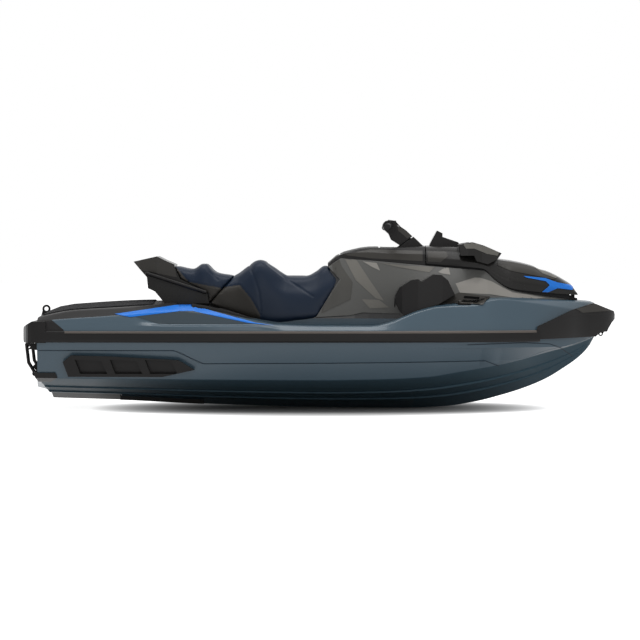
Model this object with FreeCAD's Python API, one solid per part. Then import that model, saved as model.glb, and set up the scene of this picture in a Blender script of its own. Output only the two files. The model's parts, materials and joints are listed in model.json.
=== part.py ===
# Personal watercraft: a three-seat touring boat driven by a water jet.
# Millimetres. +X points to the bow, +Y to port, +Z up. The origin lies on the waterline
# amidships, on the centre plane. Every line along the boat is a smooth curve through a few
# (x, value) points, and the mouldings are lofts through sections taken from those lines.
# The starboard side (-Y) is modelled and the port side mirrors it.
import FreeCAD
import Part
import math
import os

V = FreeCAD.Vector
os.makedirs("parts", exist_ok=True)

# Driving dimensions
length_overall = 3450.0
bow_x = 1725.0
stern_x = bow_x - length_overall
beam_overall = 1254.0
rail_proud = 15.0
sheer_half_beam = beam_overall / 2 - rail_proud
seam_z = 200.0
seam_in = 4.0
seam_lip = 4.0
transom_x = -1612.0
keel_end_x = -1541.0
panel_wall = 12.0
hood_wall = 18.0
tub_wall = 10.0
mat_thickness = 6.0
shut_gap = 6.0
seat_gap = 0.3
skin_gap = 0.3

# Jet drive
jet_z = -55.0
impeller_r = 78.0
impeller_tip_gap = 0.8
shaft_r = 14.0
shaft_clearance = 6.0
pin_clearance = 0.05
pump_wall = 14.0
pump_front_x = -1150.0
pump_rear_x = -1480.0
nozzle_pivot_x = -1570.0
nozzle_front_r = 66.0
nozzle_exit_r = 50.0
nozzle_wall = 6.0
nozzle_end_x = -1650.0
venturi_r = 46.0
gate_pivot_x = -1590.0
gate_inner_r = 103.0
gate_outer_r = 111.0
gate_arm_y = 98.0
gate_arm_wall = 10.0
ear_y = 114.0
ear_wall = 8.0
pin_r = 7.0
tunnel_half = 130.0
tunnel_roof_z = 68.0
duct_half = impeller_r + 2.0
duct_front_x = -690.0
duct_rear_x = -1080.0

# Steering
steer_tilt_deg = 35.0
steer_base_x = 500.0
steer_base_z = 716.0
column_r = 16.0
neck_sweep_r = 59.0
collar_top = 20.0
bar_r = 11.0
grip_r = 17.0
bar_half = 365.0

# Engine bay
engine_x0 = -300.0
engine_x1 = 400.0
engine_half = 190.0
engine_z0 = -110.0
engine_z1 = 290.0
engine_room = 15.0

# Hinges
hood_pivot_x = 1478.0
hood_pivot_z = 444.0
hinge_pin_r = 5.0
lid_pivot_x = 336.0
lid_pivot_z = 706.0
lid_half = 91.0
lid_gap = 5.0
lid_pin_r = 4.0
ladder_pivot_x = -1650.0
ladder_pivot_z = -18.0
ladder_arm_y = 195.0
ladder_tube_r = 10.0


def curve(points):
    """A smooth value along the boat through (x, value) points, with no overshoot between them."""
    xs = [p[0] for p in points]
    ys = [p[1] for p in points]
    steps = [(ys[i + 1] - ys[i]) / (xs[i + 1] - xs[i]) for i in range(len(xs) - 1)]
    slopes = [steps[0]]
    for i in range(1, len(steps)):
        a, b = steps[i - 1], steps[i]
        slopes.append(0.0 if a * b <= 0 else 2 * a * b / (a + b))
    slopes.append(steps[-1])

    def value(x):
        x = min(max(x, xs[0]), xs[-1])
        i = max(k for k in range(len(xs) - 1) if xs[k] <= x)
        span = xs[i + 1] - xs[i]
        t = (x - xs[i]) / span
        a = (1 + 2 * t) * (1 - t) ** 2 * ys[i] + t * (1 - t) ** 2 * span * slopes[i]
        b = t * t * (3 - 2 * t) * ys[i + 1] + t * t * (t - 1) * span * slopes[i + 1]
        return a + b

    return value


def evenly(start, end, spans):
    """Stations from start to end, evenly spaced."""
    return [start + (end - start) * i / spans for i in range(spans + 1)]


def loft(sections):
    """A solid ruled through closed sections, each a list of corner vectors."""
    wires = [Part.makePolygon(list(s) + [s[0]]) for s in sections]
    return Part.makeLoft(wires, True, True)


def mirrored_section(x, half):
    """A closed section at x from half a section, (y, z) pairs from the centre line outwards and up."""
    right = [V(x, -y, z) for y, z in half]
    left = [V(x, y, z) for y, z in reversed(half) if y > 0.001]
    return right + left


def side_prism(outline, y0, y1):
    """A side-view outline, (x, z) pairs, extruded from y0 to y1."""
    wire = Part.makePolygon([V(x, y0, z) for x, z in outline + outline[:1]])
    return Part.Face(wire).extrude(V(0, y1 - y0, 0))


def plan_prism(outline, z0, z1):
    """A plan-view outline, (x, y) pairs, extruded from z0 to z1."""
    wire = Part.makePolygon([V(x, y, z0) for x, y in outline + outline[:1]])
    return Part.Face(wire).extrude(V(0, 0, z1 - z0))


def box(x0, x1, y0, y1, z0, z1):
    return Part.makeBox(x1 - x0, y1 - y0, z1 - z0, V(x0, y0, z0))


def cylinder(start, direction, radius, length):
    return Part.makeCylinder(radius, length, V(*start), V(*direction))


def rod(start, end, radius):
    """A round bar between two points."""
    a, b = V(*start), V(*end)
    return Part.makeCylinder(radius, (b - a).Length, a, b - a)


def bent_rod(points, radius):
    """A round bar along straight runs, with a ball at each bend."""
    shape = rod(points[0], points[1], radius)
    for a, b in zip(points[1:], points[2:]):
        shape = shape.fuse(Part.makeSphere(radius, V(*a))).fuse(rod(a, b, radius))
    return shape


def turned(profile, start_x, z):
    """A solid turned about the jet's line, from (distance aft of start_x, radius) pairs."""
    points = [V(start_x - aft, 0, z + r) for aft, r in profile]
    face = Part.Face(Part.makePolygon(points + points[:1]))
    return face.revolve(V(0, 0, z), V(1, 0, 0), 360)


def mirror_y(shape):
    return shape.mirror(V(0, 0, 0), V(0, 1, 0))


def both_sides(shape):
    """The starboard piece and its mirror image, as one compound of separate solids."""
    return Part.makeCompound(shape.Solids + mirror_y(shape).Solids)


def largest(shape):
    """The main solid of a shape that cuts may have left in several."""
    solids = shape.Solids
    return solids[0] if len(solids) == 1 else max(solids, key=lambda s: s.Volume)


# Hull lines
keel_z = curve([(-1640, -164), (-1541, -168), (-1119, -181), (-702, -202), (58, -223), (521, -226),
                (725, -218), (907, -191), (1047, -156), (1185, -113), (1323, -55), (1420, 4),
                (1503, 62), (1560, 117), (1590, 160), (1602, 186)])
chine_z = curve([(-1640, -33), (-1200, -38), (-600, -44), (0, -47), (400, -41), (630, -29),
                 (780, -6), (935, 18), (1095, 47), (1328, 105), (1450, 134), (1560, 170),
                 (1602, 192)])
chine_y = curve([(-1640, 496), (-1200, 518), (-600, 530), (0, 530), (300, 520), (600, 482),
                 (850, 410), (1050, 325), (1250, 222), (1400, 135), (1500, 76), (1570, 36),
                 (1602, 16)])
sheer_share = curve([(-1640, 0.918), (-1400, 0.947), (-1000, 0.98), (-500, 0.998), (0, 1.0),
                     (400, 0.987), (700, 0.94), (950, 0.852), (1150, 0.735), (1300, 0.608),
                     (1430, 0.455), (1520, 0.31), (1575, 0.19), (1602, 0.10)])
crease_z = curve([(-1640, 125), (-830, 125), (-662, 50), (58, 53), (948, 61), (1100, 60),
                  (1328, 118), (1450, 146), (1560, 178), (1602, 195)])
crease_step = curve([(-1640, 5.0), (820, 5.0), (1060, 0.5), (1602, 0.5)])
strake_y = 275.0
strake_width = 26.0
loft_start_x = -1640.0
loft_end_x = 1602.0
stations = evenly(loft_start_x, loft_end_x, 30)


def sheer_y(x):
    return sheer_half_beam * sheer_share(x)


def bottom_z(x, y, inset=0.0):
    """The height of the hull bottom at (x, y)."""
    return keel_z(x) + (chine_z(x) - keel_z(x)) * abs(y) / (chine_y(x) - inset)


def hull_half(x, inset=0.0):
    """Half a hull section: keel, two lifting strakes, chine, the side's step and seam."""
    yc, zc = chine_y(x) - inset, chine_z(x)
    ys = sheer_y(x) - seam_in - seam_lip - inset
    share = min(1.0, yc / 480.0)
    step_z = crease_z(x)
    step_y = yc + (ys - yc) * (step_z - zc) / (seam_z - zc)
    points = [(0.0, keel_z(x))]
    for y in (0.56 * strake_y, strake_y):
        y0 = y * share
        y1 = (y + strake_width) * share
        z0 = bottom_z(x, y0, inset)
        points += [(y0, z0), (y1, z0 + 0.5), (y1 + 0.5, bottom_z(x, y1, inset))]
    points += [(yc, zc), (step_y - crease_step(x), step_z - 1.0), (step_y, step_z + 1.0), (ys, seam_z)]
    return points


# Deck lines: the outer ridge of the gunwale, its inner edge and the crown on the centre line
ridge_z = curve([(-1640, 284), (-1575, 295), (-1165, 325), (-900, 346), (-780, 352), (-620, 334),
                 (-400, 292), (-250, 270), (0, 262), (290, 262), (400, 283), (480, 314), (560, 345),
                 (680, 372), (910, 383), (970, 410), (1040, 414), (1214, 393), (1468, 353),
                 (1602, 330)])
ridge_in = curve([(-1640, 34), (-1165, 46), (-900, 60), (-780, 70), (-400, 45), (0, 26), (290, 28),
                  (600, 50), (900, 68), (1300, 58), (1500, 34), (1602, 14)])
edge_z = curve([(-1640, 300), (-1575, 322), (-1400, 352), (-1165, 366), (-900, 382), (-780, 384),
                (-620, 360), (-400, 304), (-250, 276), (0, 266), (290, 266), (400, 288),
                (480, 320), (560, 352), (680, 382), (910, 400), (970, 422), (1040, 424),
                (1334, 410), (1583, 390), (1602, 380)])
edge_in = curve([(-1640, 90), (-1165, 120), (-780, 190), (-400, 110), (0, 56), (290, 58),
                 (600, 84), (900, 104), (1300, 110), (1500, 84), (1602, 38)])
crown_z = curve([(-1640, 304), (-1575, 340), (-1470, 372), (-1400, 378), (-1200, 392),
                 (-1010, 400), (-780, 402), (-620, 372), (-400, 310), (-250, 280), (0, 270),
                 (290, 270), (400, 292), (480, 324), (560, 356), (680, 388), (910, 410),
                 (970, 428), (1040, 430), (1334, 416), (1583, 398), (1602, 388)])


def deck_half(x, lift=0.0, out=0.0):
    """Half a section of the whole deck, with the footwells still filled."""
    ys, zs = sheer_y(x) + out, seam_z
    return [(0.0, zs), (ys - seam_in, zs), (ys - 2.0, zs + 38.0), (ys - ridge_in(x), ridge_z(x)),
            (ys - edge_in(x), edge_z(x) + lift), (0.0, crown_z(x) + lift)]


# Centre body: the pedestal under the seats, flaring forward into the front fairing
body_top_z = curve([(-760, 400), (-640, 420), (-400, 470), (-100, 540), (46, 601), (120, 655),
                    (346, 636), (740, 601), (948, 580), (1003, 536), (1088, 474), (1150, 456),
                    (1335, 424), (1480, 404)])
body_top_y = curve([(-760, 190), (-300, 170), (46, 140), (120, 140), (346, 180), (600, 236),
                    (740, 270), (948, 310), (1088, 300), (1200, 260), (1335, 190), (1480, 100)])
body_low_y = curve([(-760, 235), (0, 235), (200, 245), (400, 275), (600, 350), (740, 410),
                    (950, 436), (1088, 400), (1335, 262), (1480, 140)])
body_mid_out = curve([(-760, 10), (46, 16), (300, 22), (600, 34), (948, 26), (1480, 8)])
body_shoulder_z = 300.0
body_stations = evenly(-760.0, 1480.0, 28)
pedestal_top = [(-760, 402), (-640, 404), (40, 450), (60, 590)]


def body_half(x, inset=0.0):
    """Half a section of the centre body, drawn in by inset on its sides and top."""
    top_y, top_z, low_y = body_top_y(x) - inset, body_top_z(x) - inset, body_low_y(x) - inset
    mid_z = 0.5 * (top_z + body_shoulder_z)
    mid_y = 0.5 * (top_y + low_y) + body_mid_out(x)
    return [(0.0, seam_z), (low_y, seam_z), (low_y, body_shoulder_z), (mid_y, mid_z),
            (top_y, top_z), (0.0, top_z + 6.0)]


def body_core(inset, lift=0.0):
    """The centre body inside its panels, with its top under the seats cut to the pedestal."""
    core = loft([mirrored_section(x, body_half(x, inset)) for x in body_stations])
    over = [(x, z + lift) for x, z in pedestal_top]
    cut = side_prism([(-900, over[0][1])] + over + [(over[-1][0], 900), (-900, 900)], -600, 600)
    return core.cut(cut)


# Footwells
footwell_floor_z = 152.0
footwell_floor = curve([(-880, 402), (-800, 372), (-620, 200), (-540, footwell_floor_z),
                        (470, footwell_floor_z), (600, 190), (660, 240)])
footwell_out = curve([(-880, 150), (-700, 130), (-400, 92), (0, 72), (290, 74), (600, 120),
                      (660, 170)])
footwell_top_z = 520.0
footwell_batter = 26.0
footwell_stations = evenly(-880.0, 660.0, 22)
tub_stations = footwell_stations[4:22]
tub_top_z = seam_z + 24.0
footwell_gap = 4.0
hull_band_z = footwell_floor_z - 0.7 * tub_wall
gunwale_rear_x = footwell_stations[2] + 5.0
gunwale_front_x = footwell_stations[-1] - 5.0


def footwell_section(x, grow=0.0, top_z=footwell_top_z):
    """A footwell's section: grow widens it outwards and lowers its floor."""
    inner = body_low_y(x) + footwell_gap
    outer = sheer_y(x) - footwell_out(x) + grow
    floor = footwell_floor(x) - grow
    return [V(x, -inner, floor), V(x, -outer + footwell_batter, floor), V(x, -outer, top_z),
            V(x, -inner, top_z)]


def hull_parts():
    """The lower hull, the deck, its centre under seats and fairing, and the footwells' tubs."""
    hull = loft([mirrored_section(x, hull_half(x)) for x in stations])
    deck = loft([mirrored_section(x, deck_half(x)) for x in stations])
    stern_cut = side_prism([(-1800, 700), (transom_x, 700), (transom_x, -20), (-1577, -117),
                            (keel_end_x, -170), (keel_end_x, -400), (-1800, -400)], -800, 800)
    tunnel = box(-1800, pump_front_x, -tunnel_half, tunnel_half, -400, tunnel_roof_z)
    duct = side_prism([(pump_front_x, jet_z + duct_half), (duct_front_x, -205), (duct_front_x, -400),
                       (duct_rear_x, -400), (duct_rear_x, -175), (pump_front_x, jet_z - duct_half)],
                      -duct_half, duct_half)
    shaft_hole = cylinder((pump_front_x, 0, jet_z), (1, 0, 0), shaft_r + shaft_clearance,
                          engine_x0 - pump_front_x)
    bay = box(engine_x0 - engine_room, engine_x1 + engine_room, -engine_half - engine_room,
              engine_half + engine_room, engine_z0, engine_z1 + engine_room)
    tub = loft([footwell_section(x, tub_wall, tub_top_z) for x in tub_stations])
    footwell = loft([footwell_section(x) for x in footwell_stations])
    between = []
    for x in footwell_stations[2:]:
        half = body_low_y(x) + footwell_gap
        between.append(mirrored_section(x, [(0, seam_z), (half, seam_z), (half, footwell_top_z),
                                            (0, footwell_top_z)]))
    centre = body_core(panel_wall).fuse(deck.common(loft(between))).cut(bay)
    tub = tub.cut(footwell)
    wells = [tub, mirror_y(tub), footwell, mirror_y(footwell)]
    hull = hull.cut([stern_cut, tunnel, duct, shaft_hole, bay] + wells)
    rooms = [bin_shape(0.0), hood_recess(), hood_room()]
    column = steer_tube(column_r + pin_clearance, -120, 40)
    centre = largest(centre.cut(rooms + [glovebox_shape(0.0), column]))
    deck = largest(deck.cut([stern_cut, bay] + wells + rooms).cut(centre))
    return {"hull": largest(hull), "deck": deck, "deck_centre": centre,
            "footwell_tubs": both_sides(largest(tub))}


# Front storage bin and glovebox
bin_rim_z = 430.0
glovebox_rim_z = 662.0
bin_floor_z = 215.0
bin_outline = [(800, 205), (1150, 205), (1300, 120), (1320, 60)]


def bin_shape(inset):
    """The room that the storage bin fills, drawn in on its sides and floor by inset."""
    half = [(bin_outline[0][0] + inset, bin_outline[0][1] - inset)]
    half += [(x - 0.4 * inset, y - inset) for x, y in bin_outline[1:3]]
    half += [(bin_outline[3][0] - inset, bin_outline[3][1] - 0.6 * inset)]
    outline = [(x, -y) for x, y in half] + [(x, y) for x, y in reversed(half)]
    return plan_prism(outline, bin_floor_z + inset, 700)


def hood_recess():
    """Opens the fairing above the bin's rim, so that things go in from above."""
    return plan_prism([(790, -215), (1155, -215), (1155, 215), (790, 215)], bin_rim_z, 700)


def glovebox_shape(inset):
    return box(150 + inset, 300 - inset, -85 + inset, 85 - inset, 530 + inset, 800)


# The hood's lines, which the fairing under it keeps clear of
hood_low_z = curve([(614, 618), (740, 607), (930, 590), (948, 584), (1003, 532), (1088, 480),
                    (1150, 466), (1240, 456), (1335, 446), (1468, 436), (1499, 434)])
hood_top_z = curve([(614, 722), (700, 722), (794, 718), (887, 702), (973, 675), (1033, 648),
                    (1116, 635), (1240, 605), (1282, 584), (1316, 576), (1378, 549), (1427, 521),
                    (1468, 494), (1499, 450)])
hood_top_y = curve([(614, 172), (740, 188), (948, 212), (1088, 200), (1240, 160), (1378, 108),
                    (1468, 62), (1499, 40)])
hood_stations = evenly(614.0, 1499.0, 20)
hood_inner_stations = evenly(614.0 + hood_wall, 1440.0, 16)


def hood_half(x, inset=0.0, drop=0.0):
    """Half a hood section, drawn in by inset, with its lower edge dropped."""
    low, top = hood_low_z(x) - drop, hood_top_z(x) - inset
    low_y, top_y = body_top_y(x) + 5.0 - inset, hood_top_y(x) - 0.6 * inset
    mid = 0.5 * (low_y + top_y) + 12.0
    rise = hood_top_z(x) - hood_low_z(x)
    return [(0.0, low), (low_y, low), (low_y + 4.0, hood_low_z(x) + 0.28 * rise),
            (mid, hood_low_z(x) + 0.72 * rise - 0.4 * inset), (top_y, top - 7.0), (0.0, top)]


def hood_room():
    """The hood's form grown by the shut gap, which nothing fixed enters."""
    xs = [hood_stations[0] - shut_gap] + hood_stations[1:-1] + [hood_stations[-1] + shut_gap]
    return loft([mirrored_section(x, hood_half(x, -shut_gap, shut_gap)) for x in xs])


def steer_axis():
    tilt = math.radians(steer_tilt_deg)
    return V(-math.sin(tilt), 0, math.cos(tilt))


def steer_point(along, ahead=0.0, side=0.0):
    """A point by its distance along the steering axis, ahead of it and to port."""
    a = steer_axis()
    base = V(steer_base_x, 0, steer_base_z)
    return base + a * along + V(a.z, 0, -a.x) * ahead + V(0, side, 0)


def steer_tube(radius, low, high):
    return Part.makeCylinder(radius, high - low, steer_point(low), steer_axis())


parts = hull_parts()
deck_solids = [parts["deck"], parts["deck_centre"]]
boat_solids = [parts["hull"]] + deck_solids


# Rubbing rails and bumpers
rail_top_z = seam_z + 37.0
rail_low_z = seam_z - 30.0
rail_front_x = 1250.0
rail_rear_x = -1600.0
bow_side = [(1178, 183), (1227, 190), (1247, 259), (1454, 349), (1592, 387), (1727, 335), (1723, 294),
            (1702, 273), (1682, 242), (1672, 221), (1630, 218), (1603, 193), (1392, 187)]
stern_side = [(stern_x, 182), (stern_x + 4, 228), (-1710, 250), (-1640, 290), (-1560, 290),
              (-1560, 168), (-1700, 168)]


def rail_section(x):
    ys = sheer_y(x)
    half = [(ys - 24, rail_low_z), (ys + 9, rail_low_z + 2), (ys + rail_proud, rail_low_z + 12),
            (ys + rail_proud, rail_top_z - 14), (ys + 8, rail_top_z - 1), (ys - 24, rail_top_z)]
    return [V(x, -y, z) for y, z in half]


def bow_plan(z, grow):
    """The bow bumper's plan outline at height z, grown outwards by grow."""
    half = [(1150, sheer_y(1150) + 4), (1227, sheer_y(1227) + 15), (1330, sheer_y(1330) + 22),
            (1430, sheer_y(1430) + 24), (1520, 214), (1600, 160), (1660, 116), (1700, 74),
            (1721, 34)]
    pairs = [(x + 0.5 * grow, max(y + grow, 0.4 * y)) for x, y in half]
    right = [V(x, -y, z) for x, y in pairs]
    return right + [V(bow_x + 0.5 * grow, 0, z)] + [V(x, y, z) for x, y in reversed(pairs)]


def bumpers():
    bow = loft([bow_plan(150, -26), bow_plan(235, -6), bow_plan(318, 0), bow_plan(400, -34)])
    bow = bow.common(side_prism(bow_side, -700, 700))
    parts["bow_bumper"] = largest(bow.cut(boat_solids))
    half = [(-1560, 579), (-1600, 579), (-1640, 574), (-1662, 560), (-1674, 536), (-1700, 380),
            (-1718, 200), (stern_x, 0)]
    outline = [(x, -y) for x, y in half] + [(x, y) for x, y in reversed(half[:-1])]
    stern = plan_prism(outline, 150, 300).common(side_prism(stern_side, -700, 700))
    parts["stern_bumper"] = largest(stern.cut(boat_solids))
    xs = [rail_rear_x + i * (rail_front_x - rail_rear_x) / 12 for i in range(13)]
    rail = loft([rail_section(x) for x in xs])
    rail = rail.cut(boat_solids + [parts["bow_bumper"], parts["stern_bumper"]])
    parts["side_rub_rails"] = both_sides(largest(rail))


# Pieces on the hull's outside
sponson_outline = [(-1416, 97), (-1195, 92), (-807, 71), (-778, 56), (-714, 15), (-897, -26),
                   (-1434, -25), (-1464, 60)]
sponson_stations = evenly(-1480.0, -690.0, 8)
sponson_proud = 35.0
sponson_base = 12.0
guard_outline = [(-1636, -3), (-1509, -3), (-1498, -33), (-1586, -85), (-1606, -78)]
guard_stations = evenly(-1640.0, -1480.0, 2)
guard_proud = 8.0
ride_plate_wall = 14.0
ride_plate_stations = [-1560, -1500, -1400, -1300, -1164]


def hull_fittings():
    outer = loft([mirrored_section(x, hull_half(x, -sponson_proud)) for x in sponson_stations])
    base = loft([mirrored_section(x, hull_half(x, -sponson_base)) for x in sponson_stations])
    sponson = outer.common(side_prism(sponson_outline, -700, -350))
    pocket_room = outer.cut(base)
    for left in (-1395, -1195, -995):
        pocket = side_prism([(left, 72), (left + 150, 66), (left + 185, -8), (left + 30, -8)], -700, -350)
        sponson = sponson.cut(pocket_room.common(pocket))
    parts["sponsons"] = both_sides(largest(sponson.cut(parts["hull"])))
    skin = loft([mirrored_section(x, hull_half(x, -guard_proud)) for x in guard_stations])
    guard = skin.common(side_prism(guard_outline, -700, -410)).cut(parts["hull"])
    parts["stern_corner_guards"] = both_sides(largest(guard))
    half = tunnel_half - skin_gap
    sections = []
    for x in ride_plate_stations:
        zk, ze = keel_z(x), bottom_z(x, half)
        sections.append([V(x, 0, zk), V(x, half, ze), V(x, half, ze + ride_plate_wall),
                         V(x, 0, zk + ride_plate_wall), V(x, -half, ze + ride_plate_wall),
                         V(x, -half, ze)])
    parts["ride_plate"] = loft(sections)
    grate_half = duct_half - skin_gap
    rear_x = duct_rear_x + skin_gap
    grate = box(rear_x, rear_x + 16, -grate_half, grate_half, -178, -166)
    grate = grate.fuse(box(-760, -744, -grate_half, grate_half, -196, -184))
    for i in range(5):
        y = -60 + 30 * i
        grate = grate.fuse(rod((rear_x + 4, y, -172), (-746, y, -190), 5.0))
    parts["intake_grate"] = grate


def jet_pump():
    bore_r = impeller_r + impeller_tip_gap
    outer_r = bore_r + pump_wall
    length = pump_front_x - pump_rear_x
    throat = pump_front_x - nozzle_pivot_x - 42.0
    end = pump_front_x - nozzle_pivot_x - 4.0
    shell = turned([(0, bore_r), (length, bore_r), (throat, venturi_r - 3), (end, venturi_r - 7),
                    (end, venturi_r), (throat, venturi_r + 4), (length + 12, outer_r), (0, outer_r)],
                   pump_front_x, jet_z)
    flanges = cylinder((pump_front_x - 12, 0, jet_z), (1, 0, 0), 118, 12)
    flanges = flanges.fuse(cylinder((pump_rear_x - 12, 0, jet_z), (1, 0, 0), ear_y + ear_wall, 12))
    flanges = flanges.cut(cylinder((pump_rear_x - 20, 0, jet_z), (1, 0, 0), outer_r - 1, 400))
    flanges = flanges.cut(box(-1600, -1100, -200, 200, -300, jet_z - 66))
    shell = shell.fuse(flanges)
    hub = turned([(150, 0), (150, 32), (230, 32), (300, 8), (300, 0)], pump_front_x, jet_z)
    for i in range(6):
        vane = box(pump_front_x - 245, pump_front_x - 160, -2.5, 2.5, jet_z + 24, jet_z + bore_r + 3)
        vane.rotate(V(0, 0, jet_z), V(1, 0, 0), 60 * i + 30)
        hub = hub.fuse(vane)
    shell = shell.fuse(hub).cut(cylinder((pump_front_x - 220, 0, jet_z), (1, 0, 0),
                                         shaft_r + pin_clearance, 80))
    for side in (-1, 1):
        z0 = jet_z + side * (nozzle_front_r + 6)
        z1 = jet_z + side * (nozzle_front_r + 14)
        ear = box(nozzle_pivot_x - 14, pump_rear_x - 4, -14, 14, min(z0, z1), max(z0, z1))
        pin = cylinder((nozzle_pivot_x, 0, jet_z + side * (nozzle_front_r - 4)), (0, 0, side), pin_r, 14)
        shell = shell.fuse(ear).fuse(pin)
        y0, y1 = side * ear_y, side * (ear_y + ear_wall)
        ear = box(gate_pivot_x - 14, pump_rear_x - 4, min(y0, y1), max(y0, y1), jet_z - 14, jet_z + 14)
        pin = cylinder((gate_pivot_x, side * gate_arm_y, jet_z), (0, side, 0), pin_r, ear_y - gate_arm_y + 2)
        shell = shell.fuse(ear).fuse(pin)
    parts["pump_housing"] = shell
    front_x = nozzle_pivot_x + 12.0
    span = front_x - nozzle_end_x
    nozzle = turned([(0, nozzle_front_r - nozzle_wall), (30, nozzle_front_r - nozzle_wall),
                     (span, nozzle_exit_r - nozzle_wall), (span, nozzle_exit_r),
                     (30, nozzle_front_r), (0, nozzle_front_r)], front_x, jet_z)
    for side in (-1, 1):
        boss = cylinder((nozzle_pivot_x, 0, jet_z + side * (nozzle_front_r - 5)), (0, 0, side), 13, 10)
        nozzle = nozzle.fuse(boss)
    nozzle = nozzle.cut(cylinder((nozzle_pivot_x, 0, jet_z - 120), (0, 0, 1), pin_r + pin_clearance, 240))
    parts["nozzle"] = nozzle


def impeller():
    hub_x0, hub_x1 = pump_front_x - 15.0, pump_front_x - 140.0
    hub = turned([(0, 0), (0, shaft_r), (20, 26), (125, 30), (125, shaft_r), (200, shaft_r), (200, 0)],
                 hub_x0, jet_z)
    hub = hub.fuse(cylinder((hub_x0 - 5, 0, jet_z), (1, 0, 0), shaft_r, engine_x0 + 20 - hub_x0))
    pitch, chord, thick = 165.0, 92.0, 5.0
    mid_x = 0.5 * (hub_x0 - 20 + hub_x1)
    blades = None
    for i in range(4):
        sections = []
        for r in (22.0, 42.0, 62.0, impeller_r + 6):
            angle = math.atan2(pitch, 2 * math.pi * r)
            u = V(math.sin(angle), math.cos(angle), 0) * (chord / 2)
            n = V(math.cos(angle), -math.sin(angle), 0) * (thick / 2)
            centre = V(mid_x, 0, jet_z + r)
            sections.append([centre - u - n, centre + u - n, centre + u + n, centre - u + n])
        blade = loft(sections)
        blade.rotate(V(0, 0, jet_z), V(1, 0, 0), 90 * i)
        blades = blade if blades is None else blades.fuse(blade)
    rim = cylinder((hub_x1 + 2, 0, jet_z), (1, 0, 0), impeller_r, hub_x0 - hub_x1 - 6)
    parts["impeller"] = hub.fuse(blades.common(rim))


def reverse_gate():
    """A bucket that stows above the nozzle; the arc runs from 42 to 118 degrees above aft."""
    low, high = 42.0, 118.0
    centre = V(gate_pivot_x, 0, jet_z)

    def at(r, degrees):
        a = math.radians(degrees)
        return (centre.x - r * math.cos(a), jet_z + r * math.sin(a))

    steps = [low + (high - low) * i / 8 for i in range(9)]
    arc = [at(gate_inner_r, a) for a in steps] + [at(gate_outer_r, a) for a in reversed(steps)]
    outer_y = gate_arm_y + gate_arm_wall
    gate = side_prism(arc, -outer_y, outer_y)
    fan = [at(26, 30), at(26, 80), at(26, 130)]
    fan += [at(gate_outer_r, a) for a in reversed(steps)]
    for side in (-1, 1):
        y0, y1 = side * gate_arm_y, side * outer_y
        arm = side_prism(fan + [at(22, 0)], min(y0, y1), max(y0, y1))
        arm = arm.fuse(cylinder((centre.x, min(y0, y1), jet_z), (0, 1, 0), 24, gate_arm_wall))
        gate = gate.fuse(arm)
    hole = cylinder((centre.x, -200, jet_z), (0, 1, 0), pin_r + pin_clearance, 400)
    parts["reverse_gate"] = gate.cut(hole)


def engine():
    block = box(engine_x0, engine_x1, -engine_half, engine_half, engine_z0, engine_z1)
    hole = cylinder((engine_x0 - 5, 0, jet_z), (1, 0, 0), shaft_r + pin_clearance, 30)
    parts["engine"] = block.cut(hole)


# Seats
seat_top_z = curve([(-842, 606), (-807, 598), (-737, 584), (-673, 621), (-598, 562), (-500, 550),
                    (-425, 596), (-350, 642), (-275, 601), (-182, 547), (-90, 547), (-20, 572),
                    (26, 607), (115, 620)])
seat_wide = curve([(-842, 196), (-673, 202), (-500, 190), (-350, 196), (-182, 168), (-20, 152),
                   (115, 146)])
seat_stations = evenly(-842.0, 115.0, 28)
rear_seat_side = [(-842, 700), (-842, 594), (-809, 528), (-760, 504), (-653, 450), (-639, 387),
                  (-494, 549), (-494, 700)]
front_seat_side = [(-494, 700), (-494, 549), (-639, 387), (-598, 370), (-414, 307), (-298, 274),
                   (-252, 271), (-43, 297), (-23, 304), (115, 526), (46, 601), (40, 612), (40, 700)]
tail_side = [(-1084, 628), (-945, 659), (-899, 636), (-842, 612), (-842, 594), (-809, 528),
             (-760, 504), (-653, 450), (-639, 387), (-899, 387), (-957, 456), (-997, 474),
             (-1003, 538)]


def seat_half(x):
    """Half a seat section: a rolled edge beside a shallow saddle."""
    top, wide, low = seat_top_z(x), seat_wide(x), body_low_y(x) + 4.0
    shoulder = 0.5 * (wide + low) + 8.0
    return [(0.0, 240.0), (low, 240.0), (low, 310.0), (shoulder, 0.5 * (top + 320.0)),
            (wide + 6.0, top - 62.0), (wide - 14.0, top - 22.0), (wide - 60.0, top), (0.0, top - 4.0)]


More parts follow.
